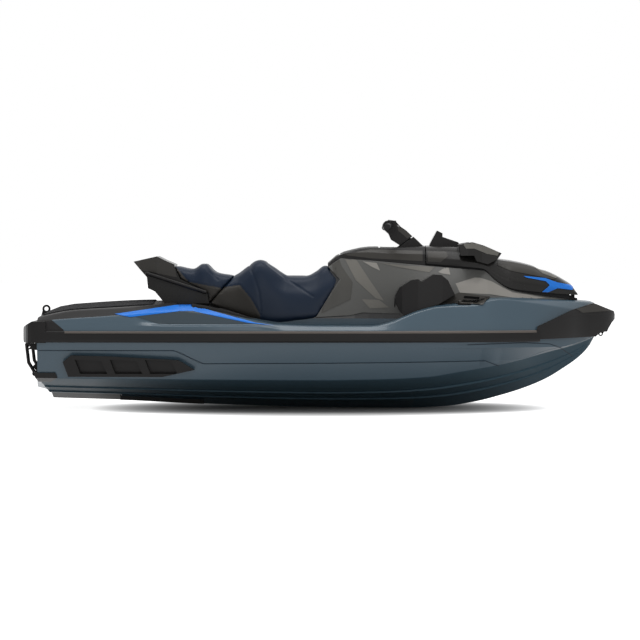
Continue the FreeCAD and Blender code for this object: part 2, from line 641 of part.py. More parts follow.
def seats():
    body = loft([mirrored_section(x, seat_half(x)) for x in seat_stations])
    room = body_core(panel_wall - seat_gap, seat_gap)
    rear = body.common(side_prism(rear_seat_side, -300, 300)).cut(room).cut(deck_solids)
    front = body.common(side_prism(front_seat_side, -300, 300)).cut(room).cut(deck_solids)
    front = front.cut(side_prism([(-494 - seat_gap, 700), (-494 - seat_gap, 549),
                                  (-639 - seat_gap, 380), (-639, 380), (-494, 549), (-494, 700)],
                                 -300, 300))
    rear = rear.cut(side_prism([(-494 - seat_gap, 700), (-494 - seat_gap, 549),
                                (-639 - seat_gap, 380), (-630, 380), (-480, 549), (-480, 700)],
                               -300, 300))
    parts["seat_front"] = largest(front)
    parts["seat_rear"] = largest(rear)
    plan = [(-1084, -120), (-1040, -170), (-945, -196), (-842, -202), (-639, -214)]
    plan = plan + [(x, -y) for x, y in reversed(plan)]
    tail = side_prism(tail_side, -300, 300).common(plan_prism(plan, 300, 700))
    tail = tail.cut(side_prism([(-842 - seat_gap, 700), (-842 - seat_gap, 594), (-809, 528 - seat_gap),
                                (-760, 504 - seat_gap), (-653 - seat_gap, 450 - seat_gap),
                                (-639 - seat_gap, 380), (-600, 380), (-600, 700)], -300, 300))
    parts["seat_tail"] = largest(tail.cut(deck_solids))
    y = 236.0
    rail = bent_rod([(-1000, -150, 560), (-1000, -y, 560), (-664, -y, 452), (-664, -190, 452)], 11.0)
    parts["grab_rails"] = both_sides(largest(rail.cut(parts["seat_tail"]).cut(parts["seat_rear"])))


# Fairing, console and steering cover
panel_side = [(46, 601), (115, 526), (-23, 308), (173, 318), (242, 335), (462, 329), (480, 322),
              (560, 330), (700, 360), (796, 400), (913, 412), (971, 424), (1335, 411), (1440, 408)]
panel_side += [(x, hood_low_z(x) - shut_gap) for x in (1335, 1240, 1150, 1088, 1045, 1003, 975, 948)]
panel_side += [(739, 594), (346, 630), (120, 648)]
console_top_z = curve([(46, 622), (112, 676), (173, 696), (281, 716), (333, 717), (398, 712),
                       (444, 715), (620, 722)])
console_top_y = curve([(46, 96), (173, 112), (333, 126), (444, 140), (620, 176)])
console_stations = evenly(46.0, 608.0, 12)


def console_half(x, inset=0.0):
    base_y, base_z = body_top_y(x) - inset, body_top_z(x) - panel_wall - 2.0 + inset
    top_y, top = console_top_y(x) - inset, console_top_z(x) - inset
    mid_z = 0.5 * (body_top_z(x) + top)
    return [(0.0, base_z), (base_y, base_z), (base_y, body_top_z(x) + 0.5 * inset),
            (0.5 * (base_y + top_y) + 10, mid_z + 4), (top_y, top - 8), (0.0, top)]


def fairing():
    skin = loft([mirrored_section(x, body_half(x)) for x in body_stations])
    rooms = [body_core(panel_wall), hood_room(), glovebox_shape(0.0), bin_shape(0.0), hood_recess()]
    panel = skin.common(side_prism(panel_side, -600, -60)).cut(rooms)
    panel = panel.cut(deck_solids + [parts["seat_front"]])
    parts["side_panels"] = both_sides(largest(panel))
    console = loft([mirrored_section(x, console_half(x)) for x in console_stations])
    console = console.cut(deck_solids + [parts["side_panels"], parts["seat_front"]])
    collar = side_prism([(440, 700), (465, 716), (545.7, 772.4), (606, 715), (606, 700)], -64, 64)
    console = console.fuse(collar).cut(steer_tube(column_r + pin_clearance, -140, 60))
    top_cut = Part.makeBox(226, 300, 200, V(-26, -150, 0))
    top_cut.Placement = FreeCAD.Placement(steer_point(collar_top),
                                          FreeCAD.Rotation(V(0, 1, 0), -steer_tilt_deg))
    console = console.cut(top_cut).cut(steer_tube(neck_sweep_r, collar_top, collar_top + 80))
    lid_room = side_prism([(112, 658), (112, 900), (lid_pivot_x + 16, 900), (lid_pivot_x + 16, 692),
                           (281, 696), (173, 676)], -lid_half - lid_gap, lid_half + lid_gap)
    lid_bore = cylinder((lid_pivot_x, -106, lid_pivot_z), (0, 1, 0), lid_pin_r + pin_clearance, 212)
    console = console.cut(lid_room).cut(glovebox_shape(0.0)).cut(lid_bore)
    parts["console"] = largest(console)


def glovebox():
    """The lid, cut from the same form as the console's top, and the bin under it."""
    form = loft([mirrored_section(x, console_half(x)) for x in console_stations])
    outline = [(118, 664), (118, 900), (lid_pivot_x + 4, 900), (lid_pivot_x + 4, 704), (281, 702),
               (173, 682)]
    lid = form.common(side_prism(outline, -lid_half, lid_half))
    lid = largest(lid).fuse(cylinder((lid_pivot_x, -104, lid_pivot_z), (0, 1, 0), lid_pin_r, 208))
    parts["glovebox_lid"] = lid
    tray = glovebox_shape(skin_gap).common(box(0, 500, -200, 200, 500, glovebox_rim_z))
    parts["glovebox_bin"] = tray.cut(glovebox_shape(4.0))
    tub = bin_shape(skin_gap).common(box(700, 1400, -300, 300, 200, bin_rim_z - 1))
    parts["front_storage_bin"] = tub.cut(bin_shape(4.0))


# Hood, with the upper cover, mirrors and gauge that it carries
cover_side = [(600, 400), (940, 400), (940, 588), (968, 616), (1026, 644), (1040, 660),
              (1040, 900), (600, 900)]
mirror_side = [(794, 726), (830, 733), (875, 741), (944, 721), (1048, 677), (1024, 643), (964, 614),
               (899, 632), (884, 664), (808, 664)]
mirror_plan = [(780, -170), (780, -392), (850, -398), (930, -372), (1060, -255), (1060, -170)]
gauge_side = [(622, 700), (640, 724), (684, 808), (713, 793), (713, 772), (804, 741), (830, 700)]
gauge_half = 92.0
glass_wall = 4.0


def plate_on(start, end, wall):
    """A strip's outline of the given wall, lying on the line from start to end."""
    dx, dz = end[0] - start[0], end[1] - start[1]
    size = math.hypot(dx, dz)
    nx, nz = -dz / size * wall, dx / size * wall
    return [start, end, (end[0] + nx, end[1] + nz), (start[0] + nx, start[1] + nz)]


def hood():
    outer = loft([mirrored_section(x, hood_half(x)) for x in hood_stations])
    inner = loft([mirrored_section(x, hood_half(x, hood_wall, 40.0)) for x in hood_inner_stations])
    shell = outer.cut(inner)
    cover_room = side_prism(cover_side, -500, 500)
    parts["upper_cover"] = largest(shell.common(cover_room))
    nose = shell.cut(cover_room)
    for side in (-1, 1):
        y0, y1 = side * 17.0, side * 35.0
        nose = nose.cut(box(1462, 1530, min(y0, y1), max(y0, y1), 400, hood_pivot_z + 14))
    nose = nose.cut(cylinder((hood_pivot_x, -60, hood_pivot_z), (0, 1, 0),
                             hinge_pin_r + pin_clearance, 120))
    parts["hood"] = largest(nose)
    lug = box(1456, 1500, -36, 36, 380, 410)
    for side in (-1, 1):
        y0, y1 = side * 20.0, side * 32.0
        lug = lug.fuse(box(hood_pivot_x - 9, hood_pivot_x + 9, min(y0, y1), max(y0, y1), 400, hood_pivot_z))
        lug = lug.fuse(cylinder((hood_pivot_x, min(y0, y1), hood_pivot_z), (0, 1, 0), 9, 12))
    lug = lug.fuse(cylinder((hood_pivot_x, -40, hood_pivot_z), (0, 1, 0), hinge_pin_r, 80))
    parts["hood_hinge"] = largest(lug.cut(deck_solids))
    mirror = side_prism(mirror_side, -420, -170).common(plan_prism(mirror_plan, 500, 900)).cut(outer)
    parts["mirror_housings"] = both_sides(largest(mirror))
    glass = side_prism(plate_on((806, 670), (796, 718), glass_wall), -382, -262)
    parts["mirror_glasses"] = both_sides(largest(glass.cut([mirror, outer])))
    gauge = side_prism(gauge_side, -gauge_half, gauge_half).cut(outer)
    parts["gauge_pod"] = largest(gauge)
    screen = side_prism(plate_on((643, 730), (682, 803), glass_wall), -76, 76)
    parts["gauge_screen"] = screen.cut(gauge)


# Handlebar
neck_side = [(465.4, 723.5), (539.2, 775.2), (501, 811), (470, 832), (439, 866), (400, 872),
             (376, 850), (372, 815), (400, 790), (415, 755)]
bar_path = [(416, 0, 838), (416, -46, 838), (404, -150, 842), (398, -235, 836), (385, -bar_half, 828)]


def handlebar():
    right = bent_rod(bar_path, bar_r)
    bar = right.fuse(mirror_y(right))
    neck = side_prism(neck_side, -46, 46)
    neck = neck.fuse(steer_tube(column_r, -110, 60)).cut(bar)
    parts["steering_neck"] = largest(neck)
    parts["handlebar_tube"] = bar
    inner, outer = V(*bar_path[3]), V(*bar_path[4])
    along = (outer - inner).normalize()
    grip = Part.makeCylinder(grip_r, 126, inner + along * 6, along)
    grip = grip.fuse(Part.makeCylinder(grip_r + 5, 8, inner + along * 4, along))
    parts["grips"] = both_sides(largest(grip.cut(bar)))
    pod = Part.makeCylinder(30, 40, inner - along * 42, along)
    pod = pod.fuse(box(385, 440, -228, -196, 812, 866)).cut(bar)
    parts["control_pods"] = both_sides(largest(pod))
    lever = bent_rod([(425, -212, 838), (452, -222, 834), (446, -318, 826)], 6.0)
    lever = largest(lever.cut(pod))
    parts["throttle_lever"] = lever
    parts["brake_lever"] = mirror_y(lever)


# Speakers, vents and mats
speaker_side = [(431, 435), (455, 482), (522, 524), (564, 529), (579, 514), (648, 556), (695, 553),
                (731, 524), (772, 441), (679, 388), (480, 320), (455, 346), (433, 388)]
vent_side = [(786, 385), (800, 432), (905, 441), (975, 430), (962, 402), (905, 383)]
vent_stations = evenly(770.0, 990.0, 4)
platform_stations = evenly(-1600.0, -950.0, 8)


def trim():
    pod = side_prism(speaker_side, -505, -300)
    pod = pod.common(plan_prism([(425, -320), (425, -420), (470, -470), (560, -500), (700, -490),
                                 (780, -430), (780, -300), (560, -300)], 300, 600))
    pod = largest(pod.cut(deck_solids).cut(parts["side_panels"]))
    grille = cylinder((426, -382, 402), (1, 0, 0), 34, 6).cut(pod)
    parts["speaker_pods"] = both_sides(pod)
    parts["speaker_grilles"] = both_sides(largest(grille))
    skin = loft([mirrored_section(x, deck_half(x, 4.0, 4.0)) for x in vent_stations])
    vent = skin.common(side_prism(vent_side, -600, -380)).cut(deck_solids).cut(parts["side_panels"])
    parts["side_vents"] = both_sides(largest(vent.cut(pod)))
    lifted = loft([mirrored_section(x, deck_half(x, mat_thickness)) for x in platform_stations])
    mat = lifted.common(plan_prism([(-1585, -430), (-1585, 430), (-1000, 400), (-960, 340),
                                    (-960, -340), (-1000, -400)], 250, 600))
    parts["platform_mat"] = largest(mat.cut(deck_solids).cut(parts["seat_tail"]))
    sections = []
    for x in (-520, -400, -200, 0, 200, 290, 400, 450):
        inner = body_low_y(x) + 12.0
        outer = sheer_y(x) - footwell_out(x) - footwell_batter - 8.0
        floor = footwell_floor_z
        sections.append([V(x, -inner, floor), V(x, -outer, floor), V(x, -outer, floor + mat_thickness),
                         V(x, -inner, floor + mat_thickness)])
    parts["footwell_mats"] = both_sides(loft(sections))


# Boarding ladder and the eyes that ropes are tied to
ladder_path = [(ladder_pivot_x, -ladder_arm_y, ladder_pivot_z), (-1688, -ladder_arm_y, 45),
               (-1700, -ladder_arm_y, 148), (-1700, ladder_arm_y, 148), (-1688, ladder_arm_y, 45),
               (ladder_pivot_x, ladder_arm_y, ladder_pivot_z)]
eye_wall = 8.0
bow_eye_x = 1642.0
bow_eye_z = 205.0
bow_eye_r = 6.5
stern_eye_x = -1664.0
stern_eye_y = 480.0
stern_eye_z = 146.0
stern_eye_r = 9.0
tow_eye_x = -1600.0
tow_eye_z = 352.0
tow_eye_r = 12.0


def eye_plate(outline, y, x, z, radius):
    """A flat plate across the boat's centre line, with a hole for a rope or hook."""
    plate = side_prism(outline, y - eye_wall / 2, y + eye_wall / 2)
    plate = plate.fuse(cylinder((x, y - eye_wall / 2, z), (0, 1, 0), 2 * radius, eye_wall))
    return plate, cylinder((x, y - eye_wall, z), (0, 1, 0), radius, 2 * eye_wall)


def ladder_and_eyes():
    frame = bent_rod(ladder_path, ladder_tube_r)
    frame = frame.fuse(box(-1712, -1690, -150, 150, 134, 150))
    for side in (-1, 1):
        y0 = side * ladder_arm_y - 8
        frame = frame.fuse(cylinder((ladder_pivot_x, y0, ladder_pivot_z), (0, 1, 0), 16, 16))
    frame = frame.common(box(-1800, -1600, -ladder_arm_y - 10, ladder_arm_y + 10, -200, 300))
    hole = cylinder((ladder_pivot_x, -300, ladder_pivot_z), (0, 1, 0), pin_r + pin_clearance, 600)
    parts["boarding_ladder"] = frame.cut(hole)
    bracket = box(-1626, -1600, -222, -168, -44, 8)
    for y0 in (-222, -178):
        bracket = bracket.fuse(box(ladder_pivot_x, -1600, y0, y0 + 10, ladder_pivot_z - 16,
                                   ladder_pivot_z + 16))
        bracket = bracket.fuse(cylinder((ladder_pivot_x, y0, ladder_pivot_z), (0, 1, 0), 16, 10))
    bracket = bracket.fuse(cylinder((ladder_pivot_x, -222, ladder_pivot_z), (0, 1, 0), pin_r, 54))
    parts["ladder_brackets"] = both_sides(largest(bracket.cut(parts["hull"])))
    plate, hole = eye_plate([(1624, 222), (1628, 200), (bow_eye_x + 8, 198), (1664, 222)], 0.0,
                            bow_eye_x, bow_eye_z, bow_eye_r)
    plate = plate.cut(parts["bow_bumper"]).cut(parts["hull"])
    parts["bow_eye"] = largest(plate).cut(hole)
    plate, hole = eye_plate([(-1600, 168), (-1600, 122), (stern_eye_x, 132), (stern_eye_x, 160)],
                            -stern_eye_y, stern_eye_x, stern_eye_z, stern_eye_r)
    parts["stern_eyes"] = both_sides(largest(plate.cut(parts["hull"])).cut(hole))
    plate, hole = eye_plate([(tow_eye_x - 34, 300), (tow_eye_x - 20, tow_eye_z), (tow_eye_x + 20, tow_eye_z),
                             (tow_eye_x + 34, 300)], 0.0, tow_eye_x, tow_eye_z, tow_eye_r)
    plate = plate.cut(deck_solids).cut(parts["platform_mat"]).cut(parts["stern_bumper"])
    parts["tow_eye"] = largest(plate).cut(hole)
    plug = cylinder((-1570, -240, -60), (-1, 0, 0), 15, 38)
    parts["drain_plugs"] = both_sides(largest(plug.cut(parts["hull"])))


def part_mouldings():
    """Parts the hull's band beside the footwells, and the gunwales, from the rest of the mouldings."""
    band = box(-1800, 1800, -800, 800, hull_band_z, 400)
    parts["upper_hull"] = largest(parts["hull"].common(band))
    parts["hull"] = largest(parts["hull"].cut(band))
    deck = parts["deck"]
    gunwale = deck.common(box(gunwale_rear_x, gunwale_front_x, -800, 0, 0, 700))
    parts["gunwales"] = both_sides(largest(gunwale))
    parts["foredeck"] = largest(deck.common(box(gunwale_front_x, 1800, -800, 800, 0, 700)))
    parts["deck"] = largest(deck.common(box(-1800, gunwale_rear_x, -800, 800, 0, 700)))


def build():
    bumpers()
    hull_fittings()
    jet_pump()
    impeller()
    reverse_gate()
    engine()
    seats()
    fairing()
    glovebox()
    hood()
    handlebar()
    trim()
    ladder_and_eyes()
    part_mouldings()


build()
for name, shape in parts.items():
    print(name, shape.isValid(), len(shape.Solids))
    shape.exportStep("parts/%s.step" % name)
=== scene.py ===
# %% [markdown]
# # A personal watercraft, dressed around its frame
# The frame is the finished construction: every piece at its real size, in metres, with +X at the
# bow, +Y to port and +Z up. Nothing in it is moved here. The mouldings are rebuilt as smooth skins
# from the same lines, the seats are blown up as cushions, and every piece gets a finish.

# %% Load the frame
import json
import math

import bmesh
import bpy
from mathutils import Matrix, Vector
from mathutils.bvhtree import BVHTree


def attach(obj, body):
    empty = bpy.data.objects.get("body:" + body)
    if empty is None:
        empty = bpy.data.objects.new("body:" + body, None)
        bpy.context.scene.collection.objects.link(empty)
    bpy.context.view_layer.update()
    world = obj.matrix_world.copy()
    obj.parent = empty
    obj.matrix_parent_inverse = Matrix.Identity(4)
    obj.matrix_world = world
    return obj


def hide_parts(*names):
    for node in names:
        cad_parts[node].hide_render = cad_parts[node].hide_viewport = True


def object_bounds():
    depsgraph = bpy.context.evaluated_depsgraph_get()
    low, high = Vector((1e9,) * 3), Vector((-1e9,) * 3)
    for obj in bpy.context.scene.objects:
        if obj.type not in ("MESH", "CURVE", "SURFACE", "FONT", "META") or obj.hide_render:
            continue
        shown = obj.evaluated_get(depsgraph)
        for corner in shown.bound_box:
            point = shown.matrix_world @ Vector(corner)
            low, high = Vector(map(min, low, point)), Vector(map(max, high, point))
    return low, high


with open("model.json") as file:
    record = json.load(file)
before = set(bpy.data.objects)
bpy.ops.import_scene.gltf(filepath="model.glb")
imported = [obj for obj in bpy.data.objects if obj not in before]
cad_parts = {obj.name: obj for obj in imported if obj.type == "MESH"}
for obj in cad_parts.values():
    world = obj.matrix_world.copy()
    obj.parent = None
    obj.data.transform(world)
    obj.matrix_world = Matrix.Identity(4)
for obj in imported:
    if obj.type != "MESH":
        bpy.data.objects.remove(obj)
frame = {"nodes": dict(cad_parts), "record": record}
nodes = frame["nodes"]
cad_box = [list(corner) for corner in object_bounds()]
mm = 0.001

# %% [markdown]
# ## Camera
# The photograph looks straight at the starboard side from far off and barely above it: the far
# gunwale doesn't show over the near one. A long lens twenty metres away gives that flat view. Its
# focal length follows from how much of the craft's plane the picture spans. By the craft's real
# length, each of its pixels is 5.85 mm there.

# %% The camera at the photograph's angle
picture_size = 640
pixel = 5.85
view_width = picture_size * pixel * mm
view_centre = Vector((0.0, 0.0, 0.286))
view_distance = 20.0
view_elevation = math.radians(1.3)
camera_data = bpy.data.cameras.new("camera")
camera_data.lens = camera_data.sensor_width * view_distance / view_width
camera_data.clip_end = 200.0
camera = bpy.data.objects.new("camera", camera_data)
bpy.context.scene.collection.objects.link(camera)
towards_eye = Vector((0, -math.cos(view_elevation), math.sin(view_elevation)))
camera.location = view_centre + towards_eye * view_distance
camera.rotation_euler = (math.pi / 2 - view_elevation, 0, 0)
bpy.context.scene.camera = camera
bpy.context.scene.view_settings.view_transform = "Standard"
print("lens", round(camera_data.lens, 1), "mm")

# %% [markdown]
# ## Shader maths as plain expressions
# A finish is a recipe of small sums: a speck of noise here, a darker band there. Written as Blender
# nodes by hand they are long to read, so a small class wraps a node's output, and Python's own
# operators add the Math nodes. Colours and vectors don't go through it, because a Math node turns a
# colour grey; they go through Mix and Vector Math.

# %% A wrapped socket
class Value:
    """A node's output that takes part in sums."""

    def __init__(self, recipe, socket):
        self.recipe = recipe
        self.socket = socket

    def math(self, operation, other):
        return self.recipe.add("Math", {"operation": operation}, {0: self, 1: other})

    def reflected(self, operation, first):
        """The same sum with this value in second place, as in 1 - mask."""
        return self.recipe.add("Math", {"operation": operation}, {0: first, 1: self})

    def __add__(self, other):
        return self.math("ADD", other)

    def __sub__(self, other):
        return self.math("SUBTRACT", other)

    def __rsub__(self, other):
        return self.reflected("SUBTRACT", other)

    def __mul__(self, other):
        return self.math("MULTIPLY", other)

    def __truediv__(self, other):
        return self.math("DIVIDE", other)

    def __rtruediv__(self, other):
        return self.reflected("DIVIDE", other)

    def __gt__(self, other):
        return self.math("GREATER_THAN", other)

    def __lt__(self, other):
        return self.math("LESS_THAN", other)

    def clamp(self):
        return self.math("MAXIMUM", 0.0).math("MINIMUM", 1.0)

    __radd__ = __add__
    __rmul__ = __mul__


print("a value takes + - * / > <, from either side")


# %% A recipe of nodes, and a paint around one Principled shader
class Recipe:
    """A node tree, with one method that adds any node."""

    def __init__(self, tree):
        self.tree = tree

    def add(self, kind, settings=None, inputs=None, output=0):
        """Adds a node of a kind: its settings are set first, then its sockets' values or links."""
        node = self.tree.nodes.new("ShaderNode" + kind)
        for key, value in (settings or {}).items():
            setattr(node, key, value)
        for key, value in (inputs or {}).items():
            self.join(value, node.inputs[key])
        return Value(self, node.outputs[output])

    def join(self, value, socket):
        if isinstance(value, Value):
            self.tree.links.new(value.socket, socket)
        elif hasattr(value, "__len__") and len(value) == 3 and len(socket.default_value) == 4:
            socket.default_value = (*value, 1.0)
        else:
            socket.default_value = value

    def seen_rays(self):
        """1 for rays from the camera, a reflection or glass, and 0 for light that bounces."""
        paths = self.add("LightPath").socket.node.outputs
        camera_ray, glossy_ray, clear_ray = (
            Value(self, paths[name]) for name in ("Is Camera Ray", "Is Glossy Ray",
                                                  "Is Transmission Ray"))
        return (camera_ray + glossy_ray + clear_ray).clamp()


class Paint(Recipe):
    """A material around one Principled shader."""

    def __init__(self, name, **constants):
        self.material = bpy.data.materials.new(name)
        self.material.use_nodes = True
        super().__init__(self.material.node_tree)
        self.shader = self.tree.nodes["Principled BSDF"]
        for socket, value in constants.items():
            self.shader.inputs[socket.replace("_", " ")].default_value = value

    def set(self, socket, value):
        """Feeds a socket of the shader."""
        self.join(value, self.shader.inputs[socket])

    def place(self):
        """Where a point lies in the craft's own frame, in metres."""
        return self.add("TexCoord", output=3)

    def axes(self):
        split = self.add("SeparateXYZ", None, {0: self.place()})
        return [Value(self, out) for out in split.socket.node.outputs]

    def noise(self, scale, detail=3.0, stretch=None):
        where = self.place()
        if stretch:
            where = self.add("VectorMath", {"operation": "MULTIPLY"}, {0: where, 1: stretch})
        return self.add("TexNoise", None, {"Vector": where, "Scale": scale, "Detail": detail})

    def mix(self, factor, first, second):
        """A colour between two, by a value from 0 to 1."""
        return self.add("Mix", {"data_type": "RGBA"}, {0: factor, 6: first, 7: second}, 2)

    def bump(self, height, strength, distance):
        return self.add("Bump", None, {"Height": height, "Strength": strength,
                                       "Distance": distance})


def shade(red, green, blue):
    """A colour as it is read off a screen, 0 to 255, turned into light."""
    return tuple((c / 255 / 12.92) if c < 10.4 else ((c / 255 + 0.055) / 1.055) ** 2.4
                 for c in (red, green, blue))


print("mid grey", [round(c, 3) for c in shade(128, 128, 128)])

# %% [markdown]
# ## Finishes
# A moulded boat has few materials, and each has its own small irregularities. Gel coat is a
# coloured resin under a clear gloss, with a faint orange-peel ripple. Black mouldings are satin,
# with a fine grain from the tool. Each kind of finish is a short function, and the eyes and the
# handlebar's tube are black here, because the photograph shows no bright metal there.

# %% Gel coat and moulded plastics
slate_blue = shade(62, 82, 95)
bright_blue = shade(32, 120, 220)


def gel_coat(name, colour, gloss=0.3):
    paint = Paint(name, Coat_Weight=gloss, Coat_Roughness=0.12, Specular_IOR_Level=gloss)
    haze = paint.noise(1.4, 2.0)
    darker = tuple(c * 0.92 for c in colour)
    paint.set("Base Color", paint.mix(haze, darker, colour))
    paint.set("Roughness", 0.3 + 0.08 * paint.noise(6.0))
    paint.set("Normal", paint.bump(paint.noise(90.0, 1.0), 0.02, 0.001))
    return paint


def moulded(name, colour, roughness, grain=0.12, grain_size=0.0012, worn=1.25, gloss=0.2):
    """Moulded plastic: a fine tool grain, slightly paler where hands and feet rub it."""
    paint = Paint(name, Specular_IOR_Level=gloss)
    rub = paint.noise(3.0, 4.0)
    paler = tuple(min(1.0, c * worn + 0.004) for c in colour)
    paint.set("Base Color", paint.mix(rub, colour, paler))
    paint.set("Roughness", roughness + 0.16 * (paint.noise(9.0) - 0.5))
    paint.set("Normal", paint.bump(paint.noise(1.0 / grain_size, 2.0), grain, 0.0006))
    return paint


def metal(name, colour, roughness, stretch=None):
    paint = Paint(name, Metallic=1.0)
    paint.set("Base Color", colour)
    lines = paint.noise(60.0, 3.0, stretch)
    paint.set("Roughness", roughness + 0.15 * (lines - 0.5))
    paint.set("Normal", paint.bump(lines, 0.05, 0.0005))
    return paint


finishes = {
    "hull_paint": gel_coat("hull gel coat", slate_blue),
    "deck_paint": gel_coat("deck gel coat", slate_blue),
    "fairing_grey": moulded("fairing grey", shade(84, 84, 82), 0.34, 0.05),
    "black_trim": moulded("black moulding", shade(27, 26, 26), 0.42, gloss=0.14),
    "gloss_black": moulded("gloss black moulding", shade(32, 31, 30), 0.26, 0.03, gloss=0.16),
    "rubber_black": moulded("black rubber", shade(28, 28, 29), 0.7, 0.35),
    "seat_navy": moulded("navy vinyl", shade(18, 31, 48), 0.4, 0.1, 0.002, worn=1.1, gloss=0.14),
    "seat_charcoal": moulded("charcoal vinyl", shade(40, 38, 35), 0.44, 0.1, 0.002, gloss=0.12),
    "mat_grey": moulded("foam mat", shade(36, 36, 37), 0.8, 0.4, 0.003, gloss=0.05),
    "cast_alloy": metal("cast alloy", shade(178, 180, 182), 0.42),
    "steel": metal("brushed steel", shade(190, 190, 190), 0.28, (1.0, 12.0, 12.0)),
    "mirror": metal("mirror glass", shade(226, 230, 234), 0.04),
    "screen": moulded("display glass", shade(12, 16, 22), 0.08, 0.0),
    "engine_block": moulded("engine block", shade(110, 110, 110), 0.6),
}
black_moulding, black_rubber = finishes["black_trim"], finishes["rubber_black"]
slot_of = {part["node"]: part["material_slot"] for part in frame["record"]["subparts"]}
for node, slot in slot_of.items():
    nodes[node].data.materials.clear()
    nodes[node].data.materials.append(finishes[slot].material)
coated_black = ("tow_eye", "bow_eye", "stern_eyes", "handlebar_tube")
for node in coated_black:
    nodes[node].data.materials[0] = black_moulding.material
print(len(finishes), "finishes on", len(slot_of), "nodes")


# %% The centre of the deck is black where it carries the seats
black_above = 0.3


def two_tone_centre():
    paint = gel_coat("deck centre", slate_blue)
    height = paint.axes()[2]
    paint.set("Base Color", paint.mix(height > black_above, slate_blue, shade(30, 30, 31)))
    nodes["deck_centre"].data.materials[0] = paint.material


two_tone_centre()
print("deck centre black above", black_above, "m")

# %% [markdown]
# ## Lines, sections and closed mouldings
# A boat's mouldings are drawn as lines that run along it and sections that cross it. The same lines
# shaped the construction; here they are followed much more closely, and the sections' corners are
# rounded with short curves, as a mould's corners are. Lengths stay in millimetres until a mesh is
# made. Openings are carved with solids afterwards, as they are trimmed from the real moulding.

# %% A line along the boat and a section with soft corners
def line(points):
    """A smooth value along the boat through (x, value) points, with no overshoot between them."""
    xs = [p[0] for p in points]
    ys = [p[1] for p in points]
    steps = [(ys[i + 1] - ys[i]) / (xs[i + 1] - xs[i]) for i in range(len(xs) - 1)]
    slopes = [steps[0]]
    for a, b in zip(steps, steps[1:]):
        slopes.append(0.0 if a * b <= 0 else 2 * a * b / (a + b))
    slopes.append(steps[-1])

    def value(x):
        x = min(max(x, xs[0]), xs[-1])
        i = max(k for k in range(len(xs) - 1) if xs[k] <= x)
        span = xs[i + 1] - xs[i]
        t = (x - xs[i]) / span
        near = (1 + 2 * t) * (1 - t) ** 2 * ys[i] + t * (1 - t) ** 2 * span * slopes[i]
        far = t * t * (3 - 2 * t) * ys[i + 1] + t * t * (t - 1) * span * slopes[i + 1]
        return near + far

    return value


def evenly(start, end, spans):
    return [start + (end - start) * i / spans for i in range(spans + 1)]


def softened(points, radii, steps=4):
    """A section whose inner corners are rounded; a radius of 0 keeps the corner sharp."""
    points = [Vector(p) for p in points]
    result = [points[0]]
    for before, corner, after, radius in zip(points, points[1:], points[2:], radii):
        if not radius:
            result.append(corner)
            continue
        start = corner.lerp(before, min(0.46, radius / max((before - corner).length, 0.01)))
        end = corner.lerp(after, min(0.46, radius / max((after - corner).length, 0.01)))
        for i in range(steps + 1):
            t = i / steps
            result.append(start.lerp(corner, t).lerp(corner.lerp(end, t), t))
    return result + [points[-1]]


print("corner steps", len(softened([(0, 0), (10, 0), (10, 10)], [3])))


# %% Solids from rings, outlines and cuts
def link(thing):
    bpy.context.scene.collection.objects.link(thing)
    return thing


def solid(name, rings):
    """A closed mesh through rings of points in millimetres, capped at both ends."""
    count = len(rings[0])
    vertices = [[c * mm for c in point] for ring in rings for point in ring]
    faces = []
    for r in range(len(rings) - 1):
        for i in range(count):
            a, b = r * count + i, r * count + (i + 1) % count
            faces.append((a, b, b + count, a + count))
    faces.append(tuple(range(count - 1, -1, -1)))
    faces.append(tuple(range((len(rings) - 1) * count, len(rings) * count)))
    mesh = bpy.data.meshes.new(name)
    mesh.from_pydata(vertices, [], faces)
    form = bmesh.new()
    form.from_mesh(mesh)
    bmesh.ops.remove_doubles(form, verts=form.verts, dist=0.02 * mm)
    bmesh.ops.recalc_face_normals(form, faces=form.faces)
    form.to_mesh(mesh)
    form.free()
    return link(bpy.data.objects.new(name, mesh))


def moulding(name, xs, half, radii, steps=4):
    """A solid through sections at xs, from half sections of (y, z) that start and end at y = 0."""
    rings = []
    for x in xs:
        right = softened(half(x), radii, steps)
        left = reversed(right[1:-1])
        rings.append([(x, -p.x, p.y) for p in right] + [(x, p.x, p.y) for p in left])
    return solid(name, rings)


def side_prism(outline, y0, y1):
    """A side-view outline of (x, z) points, as deep as from y0 to y1."""
    return solid("cutter", [[(x, y, z) for x, z in outline] for y in (y0, y1)])


def plan_prism(outline, z0, z1):
    """A plan outline of (x, y) points, as high as from z0 to z1."""
    return solid("cutter", [[(x, y, z) for x, y in outline] for z in (z0, z1)])


def bake(thing):
    """Applies the modifiers and keeps the result as the mesh."""
    seen = thing.evaluated_get(bpy.context.evaluated_depsgraph_get())
    mesh = bpy.data.meshes.new_from_object(seen)
    thing.modifiers.clear()
    thing.data = mesh
    return thing


def carve(thing, cutters, operation="DIFFERENCE"):
    for cutter in cutters:
        cut = thing.modifiers.new("carve", "BOOLEAN")
        cut.operation = operation
        cut.solver = "EXACT"
        cut.object = cutter
        bake(thing)
        bpy.data.objects.remove(cutter)
    return thing


def with_mirror_image(thing):
    """Adds the port side's mirror image to a starboard piece's mesh."""
    form = bmesh.new()
    form.from_mesh(thing.data)
    twin = bmesh.ops.duplicate(form, geom=form.verts[:] + form.edges[:] + form.faces[:])["geom"]
    corners = [g for g in twin if isinstance(g, bmesh.types.BMVert)]
    bmesh.ops.scale(form, vec=(1, -1, 1), verts=corners)
    bmesh.ops.reverse_faces(form, faces=[g for g in twin if isinstance(g, bmesh.types.BMFace)])
    form.to_mesh(thing.data)
    form.free()
    return thing


